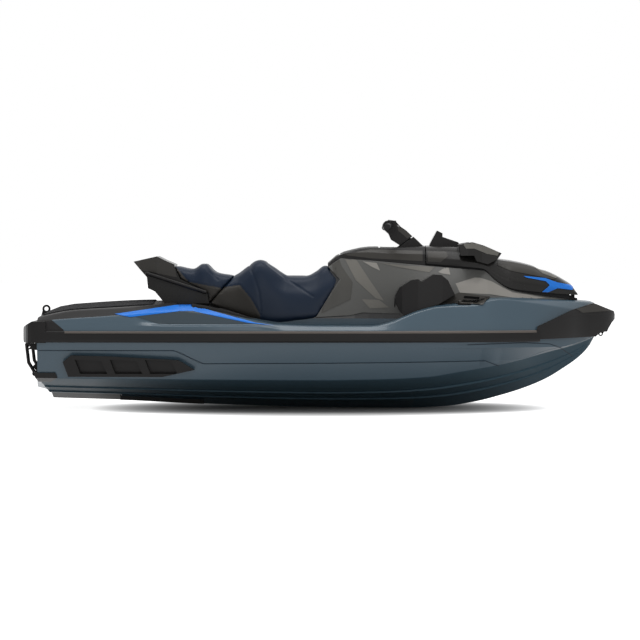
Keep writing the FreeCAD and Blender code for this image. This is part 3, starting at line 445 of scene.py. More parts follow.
def dress(thing, name, body, paints, stands_for=(), crease=32):
    """Names a finished piece, gives it its paints, smooths it and makes it ride on its body."""
    thing.name = name
    thing.data.name = name
    thing.data.materials.clear()
    for paint in paints:
        thing.data.materials.append(paint.material)
    thing.data.shade_smooth()
    thing.data.set_sharp_from_angle(angle=math.radians(crease))
    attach(thing, body)
    if stands_for:
        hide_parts(*stands_for)
    return thing


def paint_where(thing, slot, test):
    """Gives the faces whose centre passes a test (x, y, z in millimetres) another paint slot."""
    for face in thing.data.polygons:
        if test(*(c / mm for c in face.center)):
            face.material_index = slot


print("solids, cuts and mirror images ready")

# %% [markdown]
# ## The lower hull
# The hull is a moulded shell with a deep V, two lifting strakes a side, a hard chine, and a small
# step along its flank. Seen from the side its bottom is almost black, because it faces the shaded
# floor. Below the chine it has a second gel coat with little gloss, painted a little darker as
# painted shade for that, which gives the break its crisp edge. The transom, the pump's tunnel and
# the intake are carved out as in the construction.

# %% Hull lines and skin
rear_x, front_x, boat_spans = -1640, 1602, 140
transom_x, keel_end_x, seam_z = -1612.0, -1541.0, 200.0
half_beam, hull_inset, hull_wall, well_room_z = 612.0, 8.0, 26.0, 138.0
past_side = 800
keel_z = line([
    (-1640, -164), (-1541, -168), (-1119, -181), (-702, -202), (58, -223), (521, -226), (725, -218),
    (907, -191), (1047, -156), (1185, -113), (1323, -55), (1420, 4), (1503, 62), (1560, 117),
    (1590, 160), (1602, 186)])
chine_z = line([
    (-1640, -33), (-1200, -38), (-600, -44), (0, -47), (400, -41), (630, -29), (780, -6), (935, 18),
    (1095, 47), (1328, 105), (1450, 134), (1560, 170), (1602, 192)])
chine_y = line([
    (-1640, 496), (-1200, 518), (-600, 530), (0, 530), (300, 520), (600, 482), (850, 410),
    (1050, 325), (1250, 222), (1400, 135), (1500, 76), (1570, 36), (1602, 16)])
sheer_share = line([
    (-1640, 0.918), (-1400, 0.947), (-1000, 0.98), (-500, 0.998), (0, 1.0), (400, 0.987),
    (700, 0.94), (950, 0.852), (1150, 0.735), (1300, 0.608), (1430, 0.455), (1520, 0.31),
    (1575, 0.19), (1602, 0.10)])
crease_z = line([
    (-1640, 125), (-830, 125), (-662, 50), (58, 53), (948, 61), (1100, 60), (1328, 118),
    (1450, 146), (1560, 178), (1602, 195)])
crease_step = line([(-1640, 5.0), (820, 5.0), (1060, 0.5), (1602, 0.5)])
strake_y, inner_strake_share, strake_width, full_strake_y = 275.0, 0.56, 26.0, 480.0
impeller_room, jet_z, pump_front_x = 80.0, -55.0, -1150.0
tunnel_half_width, tunnel_top_z = 130, 68


def sheer_y(x):
    return half_beam * sheer_share(x)


def hull_half(x):
    keel, yc, zc = keel_z(x), chine_y(x), chine_z(x)
    ys = sheer_y(x) - hull_inset
    share = min(1.0, yc / full_strake_y)
    step_z = crease_z(x)
    step_y = yc + (ys - yc) * (step_z - zc) / (seam_z - zc)
    rise = (zc - keel) / yc
    points = [(0.0, keel)]
    for y in (inner_strake_share * strake_y, strake_y):
        y0, y1 = y * share, (y + strake_width) * share
        points += [(y0, keel + rise * y0), (y1, keel + rise * y0 + 0.5),
                   (y1 + 0.5, keel + rise * y1)]
    points += [(yc, zc), (step_y - crease_step(x), step_z - 1.0), (step_y, step_z + 1.0),
               (ys, seam_z)]
    inner_z = max(well_room_z, step_z + 3.0)
    return points + [(ys - hull_wall, seam_z), (ys - hull_wall, inner_z), (0.0, inner_z)]


stern_outline = [
    (-1800, 700), (transom_x, 700), (transom_x, -20), (-1577, -117), (keel_end_x, -170),
    (keel_end_x, -400), (-1800, -400)]
tunnel_plan = [
    (-1800, -tunnel_half_width), (pump_front_x, -tunnel_half_width),
    (pump_front_x, tunnel_half_width), (-1800, tunnel_half_width)]
duct_outline = [
    (pump_front_x, jet_z + impeller_room), (-690, -205), (-690, -400), (-1080, -400), (-1080, -175),
    (pump_front_x, jet_z - impeller_room)]
boat_xs = evenly(rear_x, front_x, boat_spans)
chine_radius = [0] * 6 + [6] + [0] * 5
hull_skin = moulding("hull skin", boat_xs, hull_half, chine_radius)
carve(hull_skin, [side_prism(stern_outline, -past_side, past_side),
                  plan_prism(tunnel_plan, -400, tunnel_top_z),
                  side_prism(duct_outline, -impeller_room, impeller_room)])
# Painted shade: below the chine the gel coat is a little darker, for the bottom that faces the
# floor.
hull_bottom_shade = gel_coat("hull bottom shade gel coat", shade(58, 80, 92), 0.05)
dress(hull_skin, "hull_skin", "boat", [finishes["hull_paint"], hull_bottom_shade],
      ["hull", "upper_hull"], 20)
paint_where(hull_skin, 1, lambda x, y, z: z < chine_z(x) + 1 and x > transom_x + 1)
print("hull skin", len(hull_skin.data.polygons), "faces")

# %% [markdown]
# ## The deck
# The deck closes the hull with high gunwales that drop beside the footwells. Its flank has a ledge
# that catches the light under the raised stern. The footwells and the strip between them are carved
# from it, so the tubs and the centre of the construction show through in their places.

# %% Deck lines and skin
ridge_z = line([
    (-1640, 284), (-1575, 295), (-1165, 325), (-900, 346), (-780, 352), (-620, 334), (-400, 292),
    (-250, 270), (0, 262), (290, 262), (400, 283), (480, 314), (560, 345), (680, 372), (910, 383),
    (970, 410), (1040, 414), (1214, 393), (1468, 353), (1602, 330)])
ridge_in = line([
    (-1640, 34), (-1165, 46), (-900, 60), (-780, 70), (-400, 45), (0, 26), (290, 28), (600, 50),
    (900, 68), (1300, 58), (1500, 34), (1602, 14)])
edge_z = line([
    (-1640, 300), (-1575, 322), (-1400, 352), (-1165, 366), (-900, 382), (-780, 384), (-620, 360),
    (-400, 304), (-250, 276), (0, 266), (290, 266), (400, 288), (480, 320), (560, 352), (680, 382),
    (910, 400), (970, 422), (1040, 424), (1334, 410), (1583, 390), (1602, 380)])
edge_in = line([
    (-1640, 90), (-1165, 120), (-780, 190), (-400, 110), (0, 56), (290, 58), (600, 84), (900, 104),
    (1300, 110), (1500, 84), (1602, 38)])
crown_z = line([
    (-1640, 304), (-1575, 340), (-1470, 372), (-1400, 378), (-1200, 392), (-1010, 400), (-780, 402),
    (-620, 372), (-400, 310), (-250, 280), (0, 270), (290, 270), (400, 292), (480, 324), (560, 356),
    (680, 388), (910, 410), (970, 428), (1040, 430), (1334, 416), (1583, 398), (1602, 388)])
ledge = line([(-1060, 0.0), (-840, 1.0), (-420, 1.0), (-200, 0.0)])
ledge_height, ledge_depth = 264.0, 34.0
body_low_y = line([
    (-760, 235), (0, 235), (200, 245), (400, 275), (600, 350), (740, 410), (950, 436), (1088, 400),
    (1335, 262), (1480, 140)])
footwell_floor = line([
    (-880, 402), (-800, 372), (-620, 200), (-540, 152), (470, 152), (600, 190), (660, 240)])
footwell_out = line([
    (-880, 150), (-700, 130), (-400, 92), (0, 72), (290, 74), (600, 120), (660, 170)])
footwell_in, footwell_slope, tub_wall, above_deck = 16.0, 26.0, 10.0, 520.0
bin_outline = [
    (800, -205), (1150, -205), (1300, -120), (1320, -60), (1320, 60), (1300, 120), (1150, 205),
    (800, 205)]
bin_low_z, past_top_z = 190, 700
black_stern_x, black_stern_z = -470, 250


def deck_half(x):
    ys = sheer_y(x)
    foot, ridge = Vector((ys - 2.0, 238.0)), Vector((ys - ridge_in(x), ridge_z(x)))
    lip = foot.lerp(ridge, 0.3).lerp(Vector((ys - 6.0, ledge_height)), ledge(x))
    root = foot.lerp(ridge, 0.6).lerp(Vector((ys - ledge_depth, ledge_height + 5.0)), ledge(x))
    return [(0.0, seam_z), (ys - 4.0, seam_z), foot, lip, root, ridge,
            (ys - edge_in(x), edge_z(x)), (0.0, crown_z(x))]


def footwell_section(x, grow, top_z):
    inner = body_low_y(x) - footwell_in
    outer = sheer_y(x) - footwell_out(x) + grow
    floor = footwell_floor(x) - grow
    return [(x, -inner, floor), (x, -outer + footwell_slope, floor), (x, -outer, top_z),
            (x, -inner, top_z)]


def strip_half(x):
    """The strip that the centre body fills between the footwells."""
    half = body_low_y(x) + 4.0
    return [(0, 150), (half, 150), (half, above_deck), (0, above_deck)]


footwell_xs = evenly(-880, 660, 44)
wells = []
for grow, top_z, xs in ((0.0, above_deck, footwell_xs), (tub_wall, 224.0, footwell_xs[8:43])):
    for side in (1, -1):
        rings = [[(x, side * y, z) for x, y, z in footwell_section(x, grow, top_z)] for x in xs]
        wells.append(solid("well", rings))
strip = moulding("strip", footwell_xs[4:], strip_half, [0, 0])
deck_skin = moulding("deck skin", boat_xs, deck_half, [0, 4, 4, 10, 9, 20])
carve(deck_skin, [side_prism(stern_outline, -past_side, past_side), strip,
                  plan_prism(bin_outline, bin_low_z, past_top_z)] + wells)
dress(deck_skin, "deck_skin", "boat", [finishes["deck_paint"], black_moulding],
      ["deck", "gunwales", "foredeck"], 26)
paint_where(deck_skin, 1, lambda x, y, z: (x < black_stern_x and z > black_stern_z
                                           and abs(y) < sheer_y(x) - ridge_in(x) - 2))
print("deck skin", len(deck_skin.data.polygons), "faces")

# %% [markdown]
# ## Grey side panels
# From the seat to the hood the craft is clad in satin grey panels. They are the centre body's skin,
# cut to the panels' outline, hollow behind like the real mouldings, and open over the front bin.

# %% Body lines and the two panels
body_top_z = line([
    (-760, 400), (-640, 420), (-400, 470), (-100, 540), (46, 601), (120, 655), (346, 636),
    (740, 601), (948, 580), (1003, 536), (1088, 474), (1150, 456), (1335, 424), (1480, 404)])
body_top_y = line([
    (-760, 190), (-300, 170), (46, 140), (120, 140), (346, 180), (600, 236), (740, 270), (948, 310),
    (1088, 300), (1200, 260), (1335, 190), (1480, 100)])
body_mid_out = line([(-760, 10), (46, 16), (300, 22), (600, 34), (948, 26), (1480, 8)])
hood_low_z = line([
    (614, 618), (740, 607), (930, 590), (948, 584), (1003, 532), (1088, 480), (1150, 466),
    (1240, 456), (1335, 446), (1468, 436), (1499, 434)])
hood_top_z = line([
    (614, 722), (700, 722), (794, 718), (887, 702), (973, 675), (1033, 648), (1116, 635),
    (1240, 605), (1282, 584), (1316, 576), (1378, 549), (1427, 521), (1468, 494), (1499, 450)])
hood_top_y = line([
    (614, 172), (740, 188), (948, 212), (1088, 200), (1240, 160), (1378, 108), (1468, 62),
    (1499, 40)])
panel_side = [
    (46, 601), (115, 526), (-23, 308), (173, 318), (242, 335), (462, 329), (480, 322), (560, 330),
    (700, 360), (796, 400), (913, 412), (971, 424), (1335, 411), (1440, 408)]
panel_side += [(x, hood_low_z(x) - 6) for x in (1335, 1240, 1150, 1088, 1045, 1003, 975, 948)]
panel_side += [(739, 594), (346, 630), (120, 648)]


def body_half(x, inset=0.0):
    top_y, top_z, low_y = body_top_y(x) - inset, body_top_z(x) - inset, body_low_y(x) - inset
    mid = (0.5 * (top_y + low_y) + body_mid_out(x), 0.5 * (top_z + 300.0))
    return [(0.0, seam_z), (low_y, seam_z), (low_y, 300.0), mid, (top_y, top_z), (0.0, top_z + 6.0)]


def hood_half(x, inset=0.0, drop=0.0):
    low, top = hood_low_z(x) - drop, hood_top_z(x) - inset
    low_y, top_y = body_top_y(x) + 5.0 - inset, hood_top_y(x) - 0.6 * inset
    rise = hood_top_z(x) - hood_low_z(x)
    mid = (0.5 * (low_y + top_y) + 12.0, hood_low_z(x) + 0.72 * rise - 0.4 * inset)
    return [(0.0, low), (low_y, low), (low_y + 4.0, hood_low_z(x) + 0.28 * rise), mid,
            (top_y, top - 7.0), (0.0, top)]


panel_wall, hood_clearance = 12.0, 6.0
body_radii = [0, 24, 90, 12]
recess_outline, bin_rim_z = [(790, -215), (1155, -215), (1155, 215), (790, 215)], 430
body_xs = evenly(-760, 1480, 112)
side_panel = moulding("side panel", body_xs, body_half, body_radii, 6)
carve(side_panel, [side_prism(panel_side, -600, -60)], "INTERSECT")
carve(side_panel, [moulding("core", body_xs, lambda x: body_half(x, panel_wall), body_radii, 6),
                   moulding("hood room", evenly(608, 1505, 40),
                            lambda x: hood_half(x, -hood_clearance, hood_clearance), [0] * 4),
                   plan_prism(recess_outline, bin_rim_z, past_top_z),
                   plan_prism(bin_outline, bin_low_z, past_top_z)])
with_mirror_image(side_panel)
dress(side_panel, "side_panel_skins", "boat", [finishes["fairing_grey"]], ["side_panels"], 30)
print("side panels", len(side_panel.data.polygons), "faces")

# %% [markdown]
# ## Hood and upper cover
# Both swing up together on the nose hinge, so both ride on the hood's body. Their outer form is one
# moulding, hollow below, split where the nose meets the cover in front of the bars. The nose has
# two slots for the hinge's arms.

# %% Hood skins
cover_side = [
    (600, 400), (940, 400), (940, 588), (968, 616), (1026, 644), (1040, 660), (1040, 900),
    (600, 900)]
hood_radii = [0, 10, 40, 16]
hood_xs, hood_room_xs = evenly(614, 1499, 80), evenly(632, 1440, 60)
hood_wall, hood_open = 18.0, 40.0
hinge_slot, slot_width = [(1462, 400), (1530, 400), (1530, 458), (1462, 458)], 18


def hood_shell(name, cutter, operation):
    shell = moulding(name, hood_xs, hood_half, hood_radii, 5)
    carve(shell, [moulding("inner", hood_room_xs, lambda x: hood_half(x, hood_wall, hood_open),
                           hood_radii, 5)])
    return carve(shell, [cutter], operation)


upper_cover = hood_shell("cover", side_prism(cover_side, -500, 500), "INTERSECT")
dress(upper_cover, "upper_cover_skin", "hood", [finishes["gloss_black"]], ["upper_cover"], 30)
nose = hood_shell("nose", side_prism(cover_side, -500, 500), "DIFFERENCE")
carve(nose, [side_prism(hinge_slot, y, y + slot_width) for y in (-35, 17)])
dress(nose, "hood_skin", "hood", [finishes["gloss_black"]], ["hood"], 30)
print("hood", len(nose.data.polygons), "faces")

# %% [markdown]
# ## Seats
# The saddle is foam under stretched vinyl, so its two cushions are blown up as cloth: each starts
# as the seat's form, a millimetre small, is remeshed to even squares, and is inflated a little
# until the vinyl looks taut. Its movement is capped, which keeps the ridges that hold each rider.
# Seams are pressed in afterwards along lines read from the side view.

# %% Seat form
seat_top_z = line([
    (-842, 606), (-807, 598), (-737, 584), (-673, 621), (-598, 562), (-500, 550), (-425, 596),
    (-350, 642), (-275, 601), (-182, 547), (-90, 547), (-20, 572), (26, 607), (115, 620)])
seat_wide = line([
    (-842, 196), (-673, 202), (-500, 190), (-350, 196), (-182, 168), (-20, 152), (115, 146)])
rear_seat_side = [
    (-842, 700), (-842, 594), (-809, 528), (-760, 504), (-653, 450), (-641, 389), (-496, 549),
    (-496, 700)]
front_seat_side = [
    (-494, 700), (-494, 549), (-639, 387), (-598, 370), (-414, 307), (-298, 274), (-252, 271),
    (-43, 297), (-23, 304), (115, 526), (46, 601), (40, 612), (40, 700)]
photo_centre_px, waterline_px = 320.0, 371.0


def seat_half(x):
    top, wide, low = seat_top_z(x), seat_wide(x), body_low_y(x) + 4.0
    shoulder = 0.5 * (wide + low) + 8.0
    return [(0.0, 240.0), (low, 240.0), (low, 310.0), (shoulder, 0.5 * (top + 320.0)),
            (wide + 6.0, top - 62.0), (wide - 14.0, top - 22.0), (wide - 60.0, top),
            (0.0, top - 4.0)]


def from_photo(outline):
    """Side-view places in millimetres from picture places in the photograph."""
    return [((px - photo_centre_px) * pixel, (waterline_px - py) * pixel) for px, py in outline]


def inside(outline, x, z):
    """Whether a side-view point lies inside an outline."""
    hit = False
    for (x0, z0), (x1, z1) in zip(outline, outline[1:] + outline[:1]):
        if (z0 > z) != (z1 > z) and x < x0 + (x1 - x0) * (z - z0) / (z1 - z0):
            hit = not hit
    return hit


def off_line(points, x, z):
    """How far a side-view point lies from a line of points."""
    best = 1e9
    for (x0, z0), (x1, z1) in zip(points, points[1:]):
        dx, dz = x1 - x0, z1 - z0
        t = min(1.0, max(0.0, ((x - x0) * dx + (z - z0) * dz) / (dx * dx + dz * dz)))
        best = min(best, math.hypot(x - x0 - t * dx, z - z0 - t * dz))
    return best


print("front seat's ridge", round(seat_top_z(-350)), "mm above the water")

# %% Cushions
seat_xs, seat_radii = evenly(-842, 115, 84), [0, 20, 60, 24, 18, 30]
seat_shrink, square_size = 0.001, 0.0105
swell_frames, swell_cap = 10, 0.0025


def inflate(pad, frames, cap):
    """Blows a closed mesh up as cloth and caps how far any point moves, in metres."""
    start = [v.co.copy() for v in pad.data.vertices]
    cloth = pad.modifiers.new("cloth", "CLOTH")
    cloth.settings.quality = 4
    cloth.settings.tension_stiffness = 40.0
    cloth.settings.compression_stiffness = 40.0
    cloth.settings.bending_stiffness = 12.0
    cloth.settings.use_pressure = True
    cloth.settings.uniform_pressure_force = 2.0
    cloth.settings.effector_weights.gravity = 0.0
    for number in range(1, frames + 1):
        bpy.context.scene.frame_set(number)
    bake(pad)
    for vertex, before in zip(pad.data.vertices, start):
        move = vertex.co - before
        if move.length > cap:
            vertex.co = before + move * (cap / move.length)
    bpy.context.scene.frame_set(1)


def press_seams(pad, seams, width=9.0, depth=3.2):
    """Presses sewn lines into a cushion, along side-view lines in millimetres."""
    for vertex in pad.data.vertices:
        x, z = vertex.co.x / mm, vertex.co.z / mm
        near = min(off_line(seam, x, z) for seam in seams)
        if near < width:
            vertex.co -= vertex.normal * (depth * mm * (1 - near / width) ** 0.7)


def cushion(name, outline, node, seams, charcoal):
    pad = moulding(name, seat_xs, seat_half, seat_radii, 5)
    carve(pad, [side_prism(outline, -300, 300)], "INTERSECT")
    shrink = pad.modifiers.new("shrink", "DISPLACE")
    shrink.strength, shrink.mid_level = -seat_shrink, 0.0
    remesh = pad.modifiers.new("even squares", "REMESH")
    remesh.mode, remesh.voxel_size = "VOXEL", square_size
    bake(pad)
    inflate(pad, swell_frames, swell_cap)
    taut = pad.modifiers.new("taut", "SMOOTH")
    taut.factor, taut.iterations = 0.5, 8
    pad.modifiers.new("finer", "SUBSURF").levels = 1
    bake(pad)
    press_seams(pad, seams)
    dress(pad, name, "boat", [finishes["seat_navy"], finishes["seat_charcoal"]], [node], 80)
    paint_where(pad, 1, lambda x, y, z: inside(charcoal, x, z))
    print(name, len(pad.data.polygons), "faces")


front_seams = [from_photo(points) for points in (
    [(250, 267.5), (254.8, 279), (259.6, 294), (261.5, 313)],
    [(268, 265.5), (290, 283), (313, 298)],
    [(227, 288.4), (240.4, 286.5), (251.9, 299.9), (261, 316)])]
front_charcoal = from_photo([
    (200, 312), (205, 296), (227, 288.4), (240.4, 286.5), (251.9, 299.9), (261, 316), (262, 330),
    (200, 330)])
rear_seams = [from_photo(points) for points in (
    [(203.5, 263.5), (211, 274), (219, 281.5)], [(180, 272), (190, 283.5), (222, 289.5)])]
rear_charcoal = from_photo([
    (170, 262), (180, 272), (190, 283.5), (222, 289.5), (222, 320), (170, 320)])
cushion("front_cushion", front_seat_side, "seat_front", front_seams, front_charcoal)
cushion("rear_cushion", rear_seat_side, "seat_rear", rear_seams, rear_charcoal)

# %% [markdown]
# ## Rubbing rails and bow bumper
# A soft black rail takes the knocks along each side and runs into a big moulded bumper round the
# bow. Both are rebuilt with rounded edges, and they reach into the hull, where nobody sees them.

# %% Rails and bow bumper
rail_top_z, rail_low_z, rail_proud, rail_root, bow_x = 237.0, 170.0, 15.0, 24.0, 1725.0
bow_side = [
    (1178, 183), (1227, 190), (1247, 259), (1454, 349), (1592, 387), (1727, 335), (1723, 294),
    (1702, 273), (1682, 242), (1672, 221), (1630, 218), (1603, 193), (1392, 187)]


def rail_section(x):
    ys = sheer_y(x)
    outer = [(ys - rail_root, rail_low_z), (ys + 9, rail_low_z + 2),
             (ys + rail_proud, rail_low_z + 12), (ys + rail_proud, rail_top_z - 14),
             (ys + 8, rail_top_z - 1), (ys - rail_root, rail_top_z)]
    return [(x, -p.x, p.y) for p in softened(outer, [5, 8, 8, 5])]


def bow_plan(z, grow):
    """The bow bumper's plan outline at height z, grown outwards by grow."""
    proud = ((1150, 4), (1227, 15), (1330, 22), (1430, 24))
    half = [(x, sheer_y(x) + out) for x, out in proud]
    half += [(1520, 214), (1600, 160), (1660, 116), (1700, 74), (1721, 34)]
    pairs = [(x + 0.5 * grow, max(y + grow, 0.4 * y)) for x, y in half]
    ring = pairs + [(bow_x + 0.5 * grow, 0.0)] + [(x, -y) for x, y in reversed(pairs)]
    ring = softened(ring, [60] * (len(ring) - 2), 3)
    return [(p.x, p.y, z) for p in ring]


rails = solid("rails", [rail_section(x) for x in evenly(-1600, 1262, 90)])
dress(with_mirror_image(rails), "rub_rail_skins", "boat", [black_moulding],
      ["side_rub_rails"])
bow_levels = ((150, -26), (235, -6), (318, 0), (400, -34))
bow = solid("bow", [bow_plan(z, grow) for z, grow in bow_levels])
carve(bow, [side_prism(bow_side, -700, 700)], "INTERSECT")
dress(bow, "bow_bumper_skin", "boat", [black_moulding], ["bow_bumper"], 14)
print("rails and bumper", len(rails.data.polygons), len(bow.data.polygons))

# %% [markdown]
# ## Intake shoe
# Two low runners stand beside the water intake, level with the keel, so the bottom runs on straight
# past the grate when it is seen from the side.

# %% Intake runners
runner_out, runner_in = 98.0, 82.0
runner_rings = []
for x in evenly(-1163, -676, 24):
    low = keel_z(x) + 2.0
    high = keel_z(x) + (chine_z(x) - keel_z(x)) * runner_out / chine_y(x) + 4.0
    runner_rings.append([(x, -runner_out, high), (x, -runner_out + 4, low + 4),
                         (x, -runner_out + 8, low), (x, -runner_in - 2, low),
                         (x, -runner_in, high)])
dress(with_mirror_image(solid("runners", runner_rings)), "intake_runners", "boat",
      [black_moulding])
print("intake runners of", len(runner_rings), "sections")

# %% [markdown]
# ## Seals
# The hood and its cover close on a black rubber seal, which also keeps daylight out of the joint,
# and the handlebar's column turns in a rubber gaiter. They are thin trim that the construction
# leaves out, so they are added here, just inside the joints that they close.

# %% Hood seal and steering gaiter
seal_in, seal_width = 18.0, 14


def hood_seal():
    rings = []
    for x in evenly(606, 1452, 60):
        outer = seal_in - body_top_y(x)
        inner = outer + seal_width
        low, high = body_top_z(x) - 34.0, hood_low_z(x) + 8.0
        rings.append([(x, outer, low), (x, outer, high), (x, inner, high), (x, inner, low)])
    return dress(with_mirror_image(solid("seal", rings)), "hood_seals", "boat",
                 [black_rubber])


steer_tilt = math.radians(35.0)
steer_base = Vector((500.0, 0.0, 716.0))
steer_axis = Vector((-math.sin(steer_tilt), 0.0, math.cos(steer_tilt)))
gaiter_folds = ((12, 30), (15, 52), (20, 57), (23, 53), (25.8, 57), (25.9, 30))
gaiter_sides = 48


def gaiter():
    """Rings round the column: how far along it each lies, and its radius."""
    ahead = Vector((steer_axis.z, 0.0, -steer_axis.x))
    across = Vector((0, 1, 0))
    rings = []
    for along, radius in gaiter_folds:
        ring = []
        for i in range(gaiter_sides):
            turn = 2 * math.pi * i / gaiter_sides
            spoke = ahead * (radius * math.cos(turn)) + across * (radius * math.sin(turn))
            ring.append(steer_base + steer_axis * along + spoke)
        rings.append(ring)
    return dress(solid("gaiter", rings), "steering_gaiter", "boat", [black_rubber])


def nose_seal():
    """Fills the gap in front of the hood's seal, under the hood's tip, beside its hinge."""
    tip_gap = [(1430, 396), (1500, 392), (1500, 416), (1476, 418), (1472, 430), (1430, 436)]
    block = side_prism(tip_gap, -64, -40)
    return dress(with_mirror_image(block), "nose_seals", "boat", [black_rubber])


def mirror_rims():
    """The mirror glass is silvered on its face alone; its rim is black."""
    glass = nodes["mirror_glasses"].data
    glass.materials.append(black_moulding.material)
    for face in glass.polygons:
        if face.normal.x > -0.8:
            face.material_index = 1


mirror_rims()
hood_seal()
nose_seal()
gaiter()
print("seals in place")

# %% [markdown]
# ## Stripes, facets, painted highlights and painted shade
# The blue stripes, the light and dark facets of the panels, the painted highlights and painted
# shade on some mouldings, and thin lines of painted shadow along the hull's steps are read off the
# side view as outlines, in the photograph's pixels. Each outline is cut into small triangles, laid
# on the moulding from the side and lifted a little off its surface, like a film pressed on it, and
# mirrored to port. All lettering is left off, and its place stays bare.

# %% Films laid on the mouldings
film_lift, film_squares = 1.6, 10.0
past_centre = -0.02
starboard_eye, to_port = -2, Vector((0, 1, 0))


def over_all(things):
    """One ray-casting tree over several pieces."""
    vertices, faces = [], []
    for thing in things:
        start = len(vertices)
        vertices += [v.co.copy() for v in thing.data.vertices]
        faces += [[start + i for i in f.vertices] for f in thing.data.polygons]
    return BVHTree.FromPolygons(vertices, faces)


def film(name, outlines, targets, paint, body="boat", spacing=film_squares, lift=film_lift):
    """Lays outlines on the targets as seen from starboard; points that miss them fall away."""
    form = bmesh.new()
    for outline in outlines:
        corners = from_photo(outline)
        form.faces.new([form.verts.new((x * mm, 0, z * mm)) for x, z in corners])
    bmesh.ops.triangulate(form, faces=form.faces[:])
    for _ in range(7):
        long = [edge for edge in form.edges if edge.calc_length() > spacing * mm]
        if not long:
            break
        bmesh.ops.subdivide_edges(form, edges=long, cuts=1)
        bmesh.ops.triangulate(form, faces=[f for f in form.faces if len(f.verts) > 3])
    tree = over_all(targets)
    lost = []
    for vertex in form.verts:
        start = Vector((vertex.co.x, starboard_eye, vertex.co.z))
        hit, normal = tree.ray_cast(start, to_port)[:2]
        if hit is None or hit.y > past_centre:
            lost.append(vertex)
        else:
            vertex.co = hit + normal * (lift * mm if normal.y < 0 else -lift * mm)
    bmesh.ops.delete(form, geom=lost, context="VERTS")
    for face in form.faces:
        face.normal_update()
        if face.normal.y > 0:
            face.normal_flip()
    mesh = bpy.data.meshes.new(name)
    form.to_mesh(mesh)
    form.free()
    print(name, len(mesh.polygons), "faces,", len(lost), "points off the piece")
    sheet = with_mirror_image(link(bpy.data.objects.new(name, mesh)))
    return dress(sheet, name, body, [paint], (), 60)


def seam(points, width):
    """The outline of a line of the given width, in picture pixels."""
    left, right = [], []
    for i, (x, y) in enumerate(points):
        x0, y0 = points[max(i - 1, 0)]
        x1, y1 = points[min(i + 1, len(points) - 1)]
        size = math.hypot(x1 - x0, y1 - y0)
        nx, ny = -(y1 - y0) / size * width / 2, (x1 - x0) / size * width / 2
        left.append((x + nx, y + ny))
        right.append((x - nx, y - ny))
    return left + right[::-1]


print("usual film lift", film_lift, "mm")

# %% Colours of the films
blue_film = moulded("blue film", bright_blue, 0.3, 0.0, worn=1.0)
flank_shade_slate = gel_coat("painted shade slate", shade(42, 57, 66))
step_shadow = moulded("step shadow line", shade(34, 46, 56), 0.5, 0.0)
# Light facets of the side panels, and painted highlights on the hood and the mirrors' tops.
light_facet_and_highlight = moulded("light facet and highlight", shade(104, 102, 97), 0.34, 0.05)
facet_pale = moulded("pale facet", shade(134, 131, 126), 0.34, 0.05)
facet_dark = moulded("dark facet", shade(70, 69, 66), 0.34, 0.05)
# Grey of the tail, hood, vents and neck, and painted highlights on the console, cover and bumper.
grey_facet_and_highlight = moulded("grey facet and highlight", shade(52, 50, 47), 0.32, 0.05)
slot_shade = moulded("slot shade", shade(9, 9, 10), 0.7, gloss=0.02)
rail_highlight = moulded("rail highlight", shade(86, 80, 76), 0.4, 0.05)
print("film colours ready")

# %% Stripes
stern_stripe = [
    (120, 314.4), (150, 310.2), (179, 306), (196, 306), (204, 308.8), (257.5, 322.8), (276, 325.5),
    (250, 322.8), (196, 311.5), (183, 311.6), (135.4, 317.2)]
hood_stripe = [
    (520.6, 277.7), (543.3, 280.1), (555.2, 284.4), (573.5, 287.6), (570.5, 291.9), (555.2, 289.9),
    (545.3, 293.9), (539.3, 293.5), (547.2, 287), (543.3, 283), (523.5, 279.3)]
stripe_lift = 2.6
film("stern_stripe", [stern_stripe], [deck_skin], blue_film, lift=stripe_lift)
film("hood_stripe", [hood_stripe], [nose], blue_film, "hood", lift=stripe_lift)

# %% Tones of the stern and the seat's tail, painted shade on the stern's flank, a painted highlight on the rail
stern_flank_shade = [
    (137.1, 315.6), (175.4, 310.2), (198.4, 308.9), (240.4, 319.8), (255.8, 323.8), (163.9, 323.8)]
stern_corner = [(40, 314.2), (58.7, 320), (71, 329.5), (71, 331), (40, 331)]
rail_highlight_line = [
    (72, 330.9), (300, 330.9), (500, 330.7), (532, 330.7), (532, 332.9), (300, 332.9), (72, 332.9)]
tail_side = [
    (135.6, 262.2), (157.8, 257.3), (163.9, 258.6), (172, 262.4), (175.8, 268), (178.5, 279.2),
    (148.6, 273), (143.8, 272.4)]
# Painted shade: the concave flank under the stern's stripe is painted darker.
film("stern_flank_shade", [stern_flank_shade], [deck_skin], flank_shade_slate)
film("stern_corners", [stern_corner], [deck_skin], black_moulding)
# Painted highlight: a pale band along the top of the black rail, where light from above catches it.
film("rail_highlights", [rail_highlight_line], [rails], rail_highlight)
film("tail_facets", [tail_side], [nodes["seat_tail"]], grey_facet_and_highlight)

# %% Facets of the side panels
light_facets = [
    [(344, 259.6), (356.5, 262.4), (369.3, 282), (383, 302), (375.2, 299.8), (355.5, 282)],
    [(361.4, 300.8), (378.2, 301.2), (388, 308.7), (369.3, 309.7)],
    [(379.2, 264.8), (404.9, 267.6), (433, 268.8), (428, 274.1), (420.7, 273.1), (397, 268.9)]]
pale_facets = [
    [(362.4, 263.4), (376.2, 265), (379.5, 272.5), (372.2, 269.2)],
    [(446.4, 267.6), (436.5, 273.7), (439.5, 275.1), (448.4, 276.5), (446.8, 272.2)],
    [(453.3, 285), (472.1, 279.1), (478.1, 279.5), (488.9, 283), (499.8, 289), (509.7, 293.9),
     (523.5, 295.9), (543.3, 299.6), (523.5, 300.4), (504.7, 298.2), (486.9, 295.5),
     (457.3, 293.9)]]
dark_facets = [
    [(331, 263.5), (338.7, 259.6), (341.6, 268.2), (352.4, 284), (350.4, 300.8), (321, 315),
     (335.7, 284)]]
film("panel_facets", light_facets, [side_panel], light_facet_and_highlight)
film("panel_highlights", pale_facets, [side_panel], facet_pale)
film("panel_shades", dark_facets, [side_panel], facet_dark)
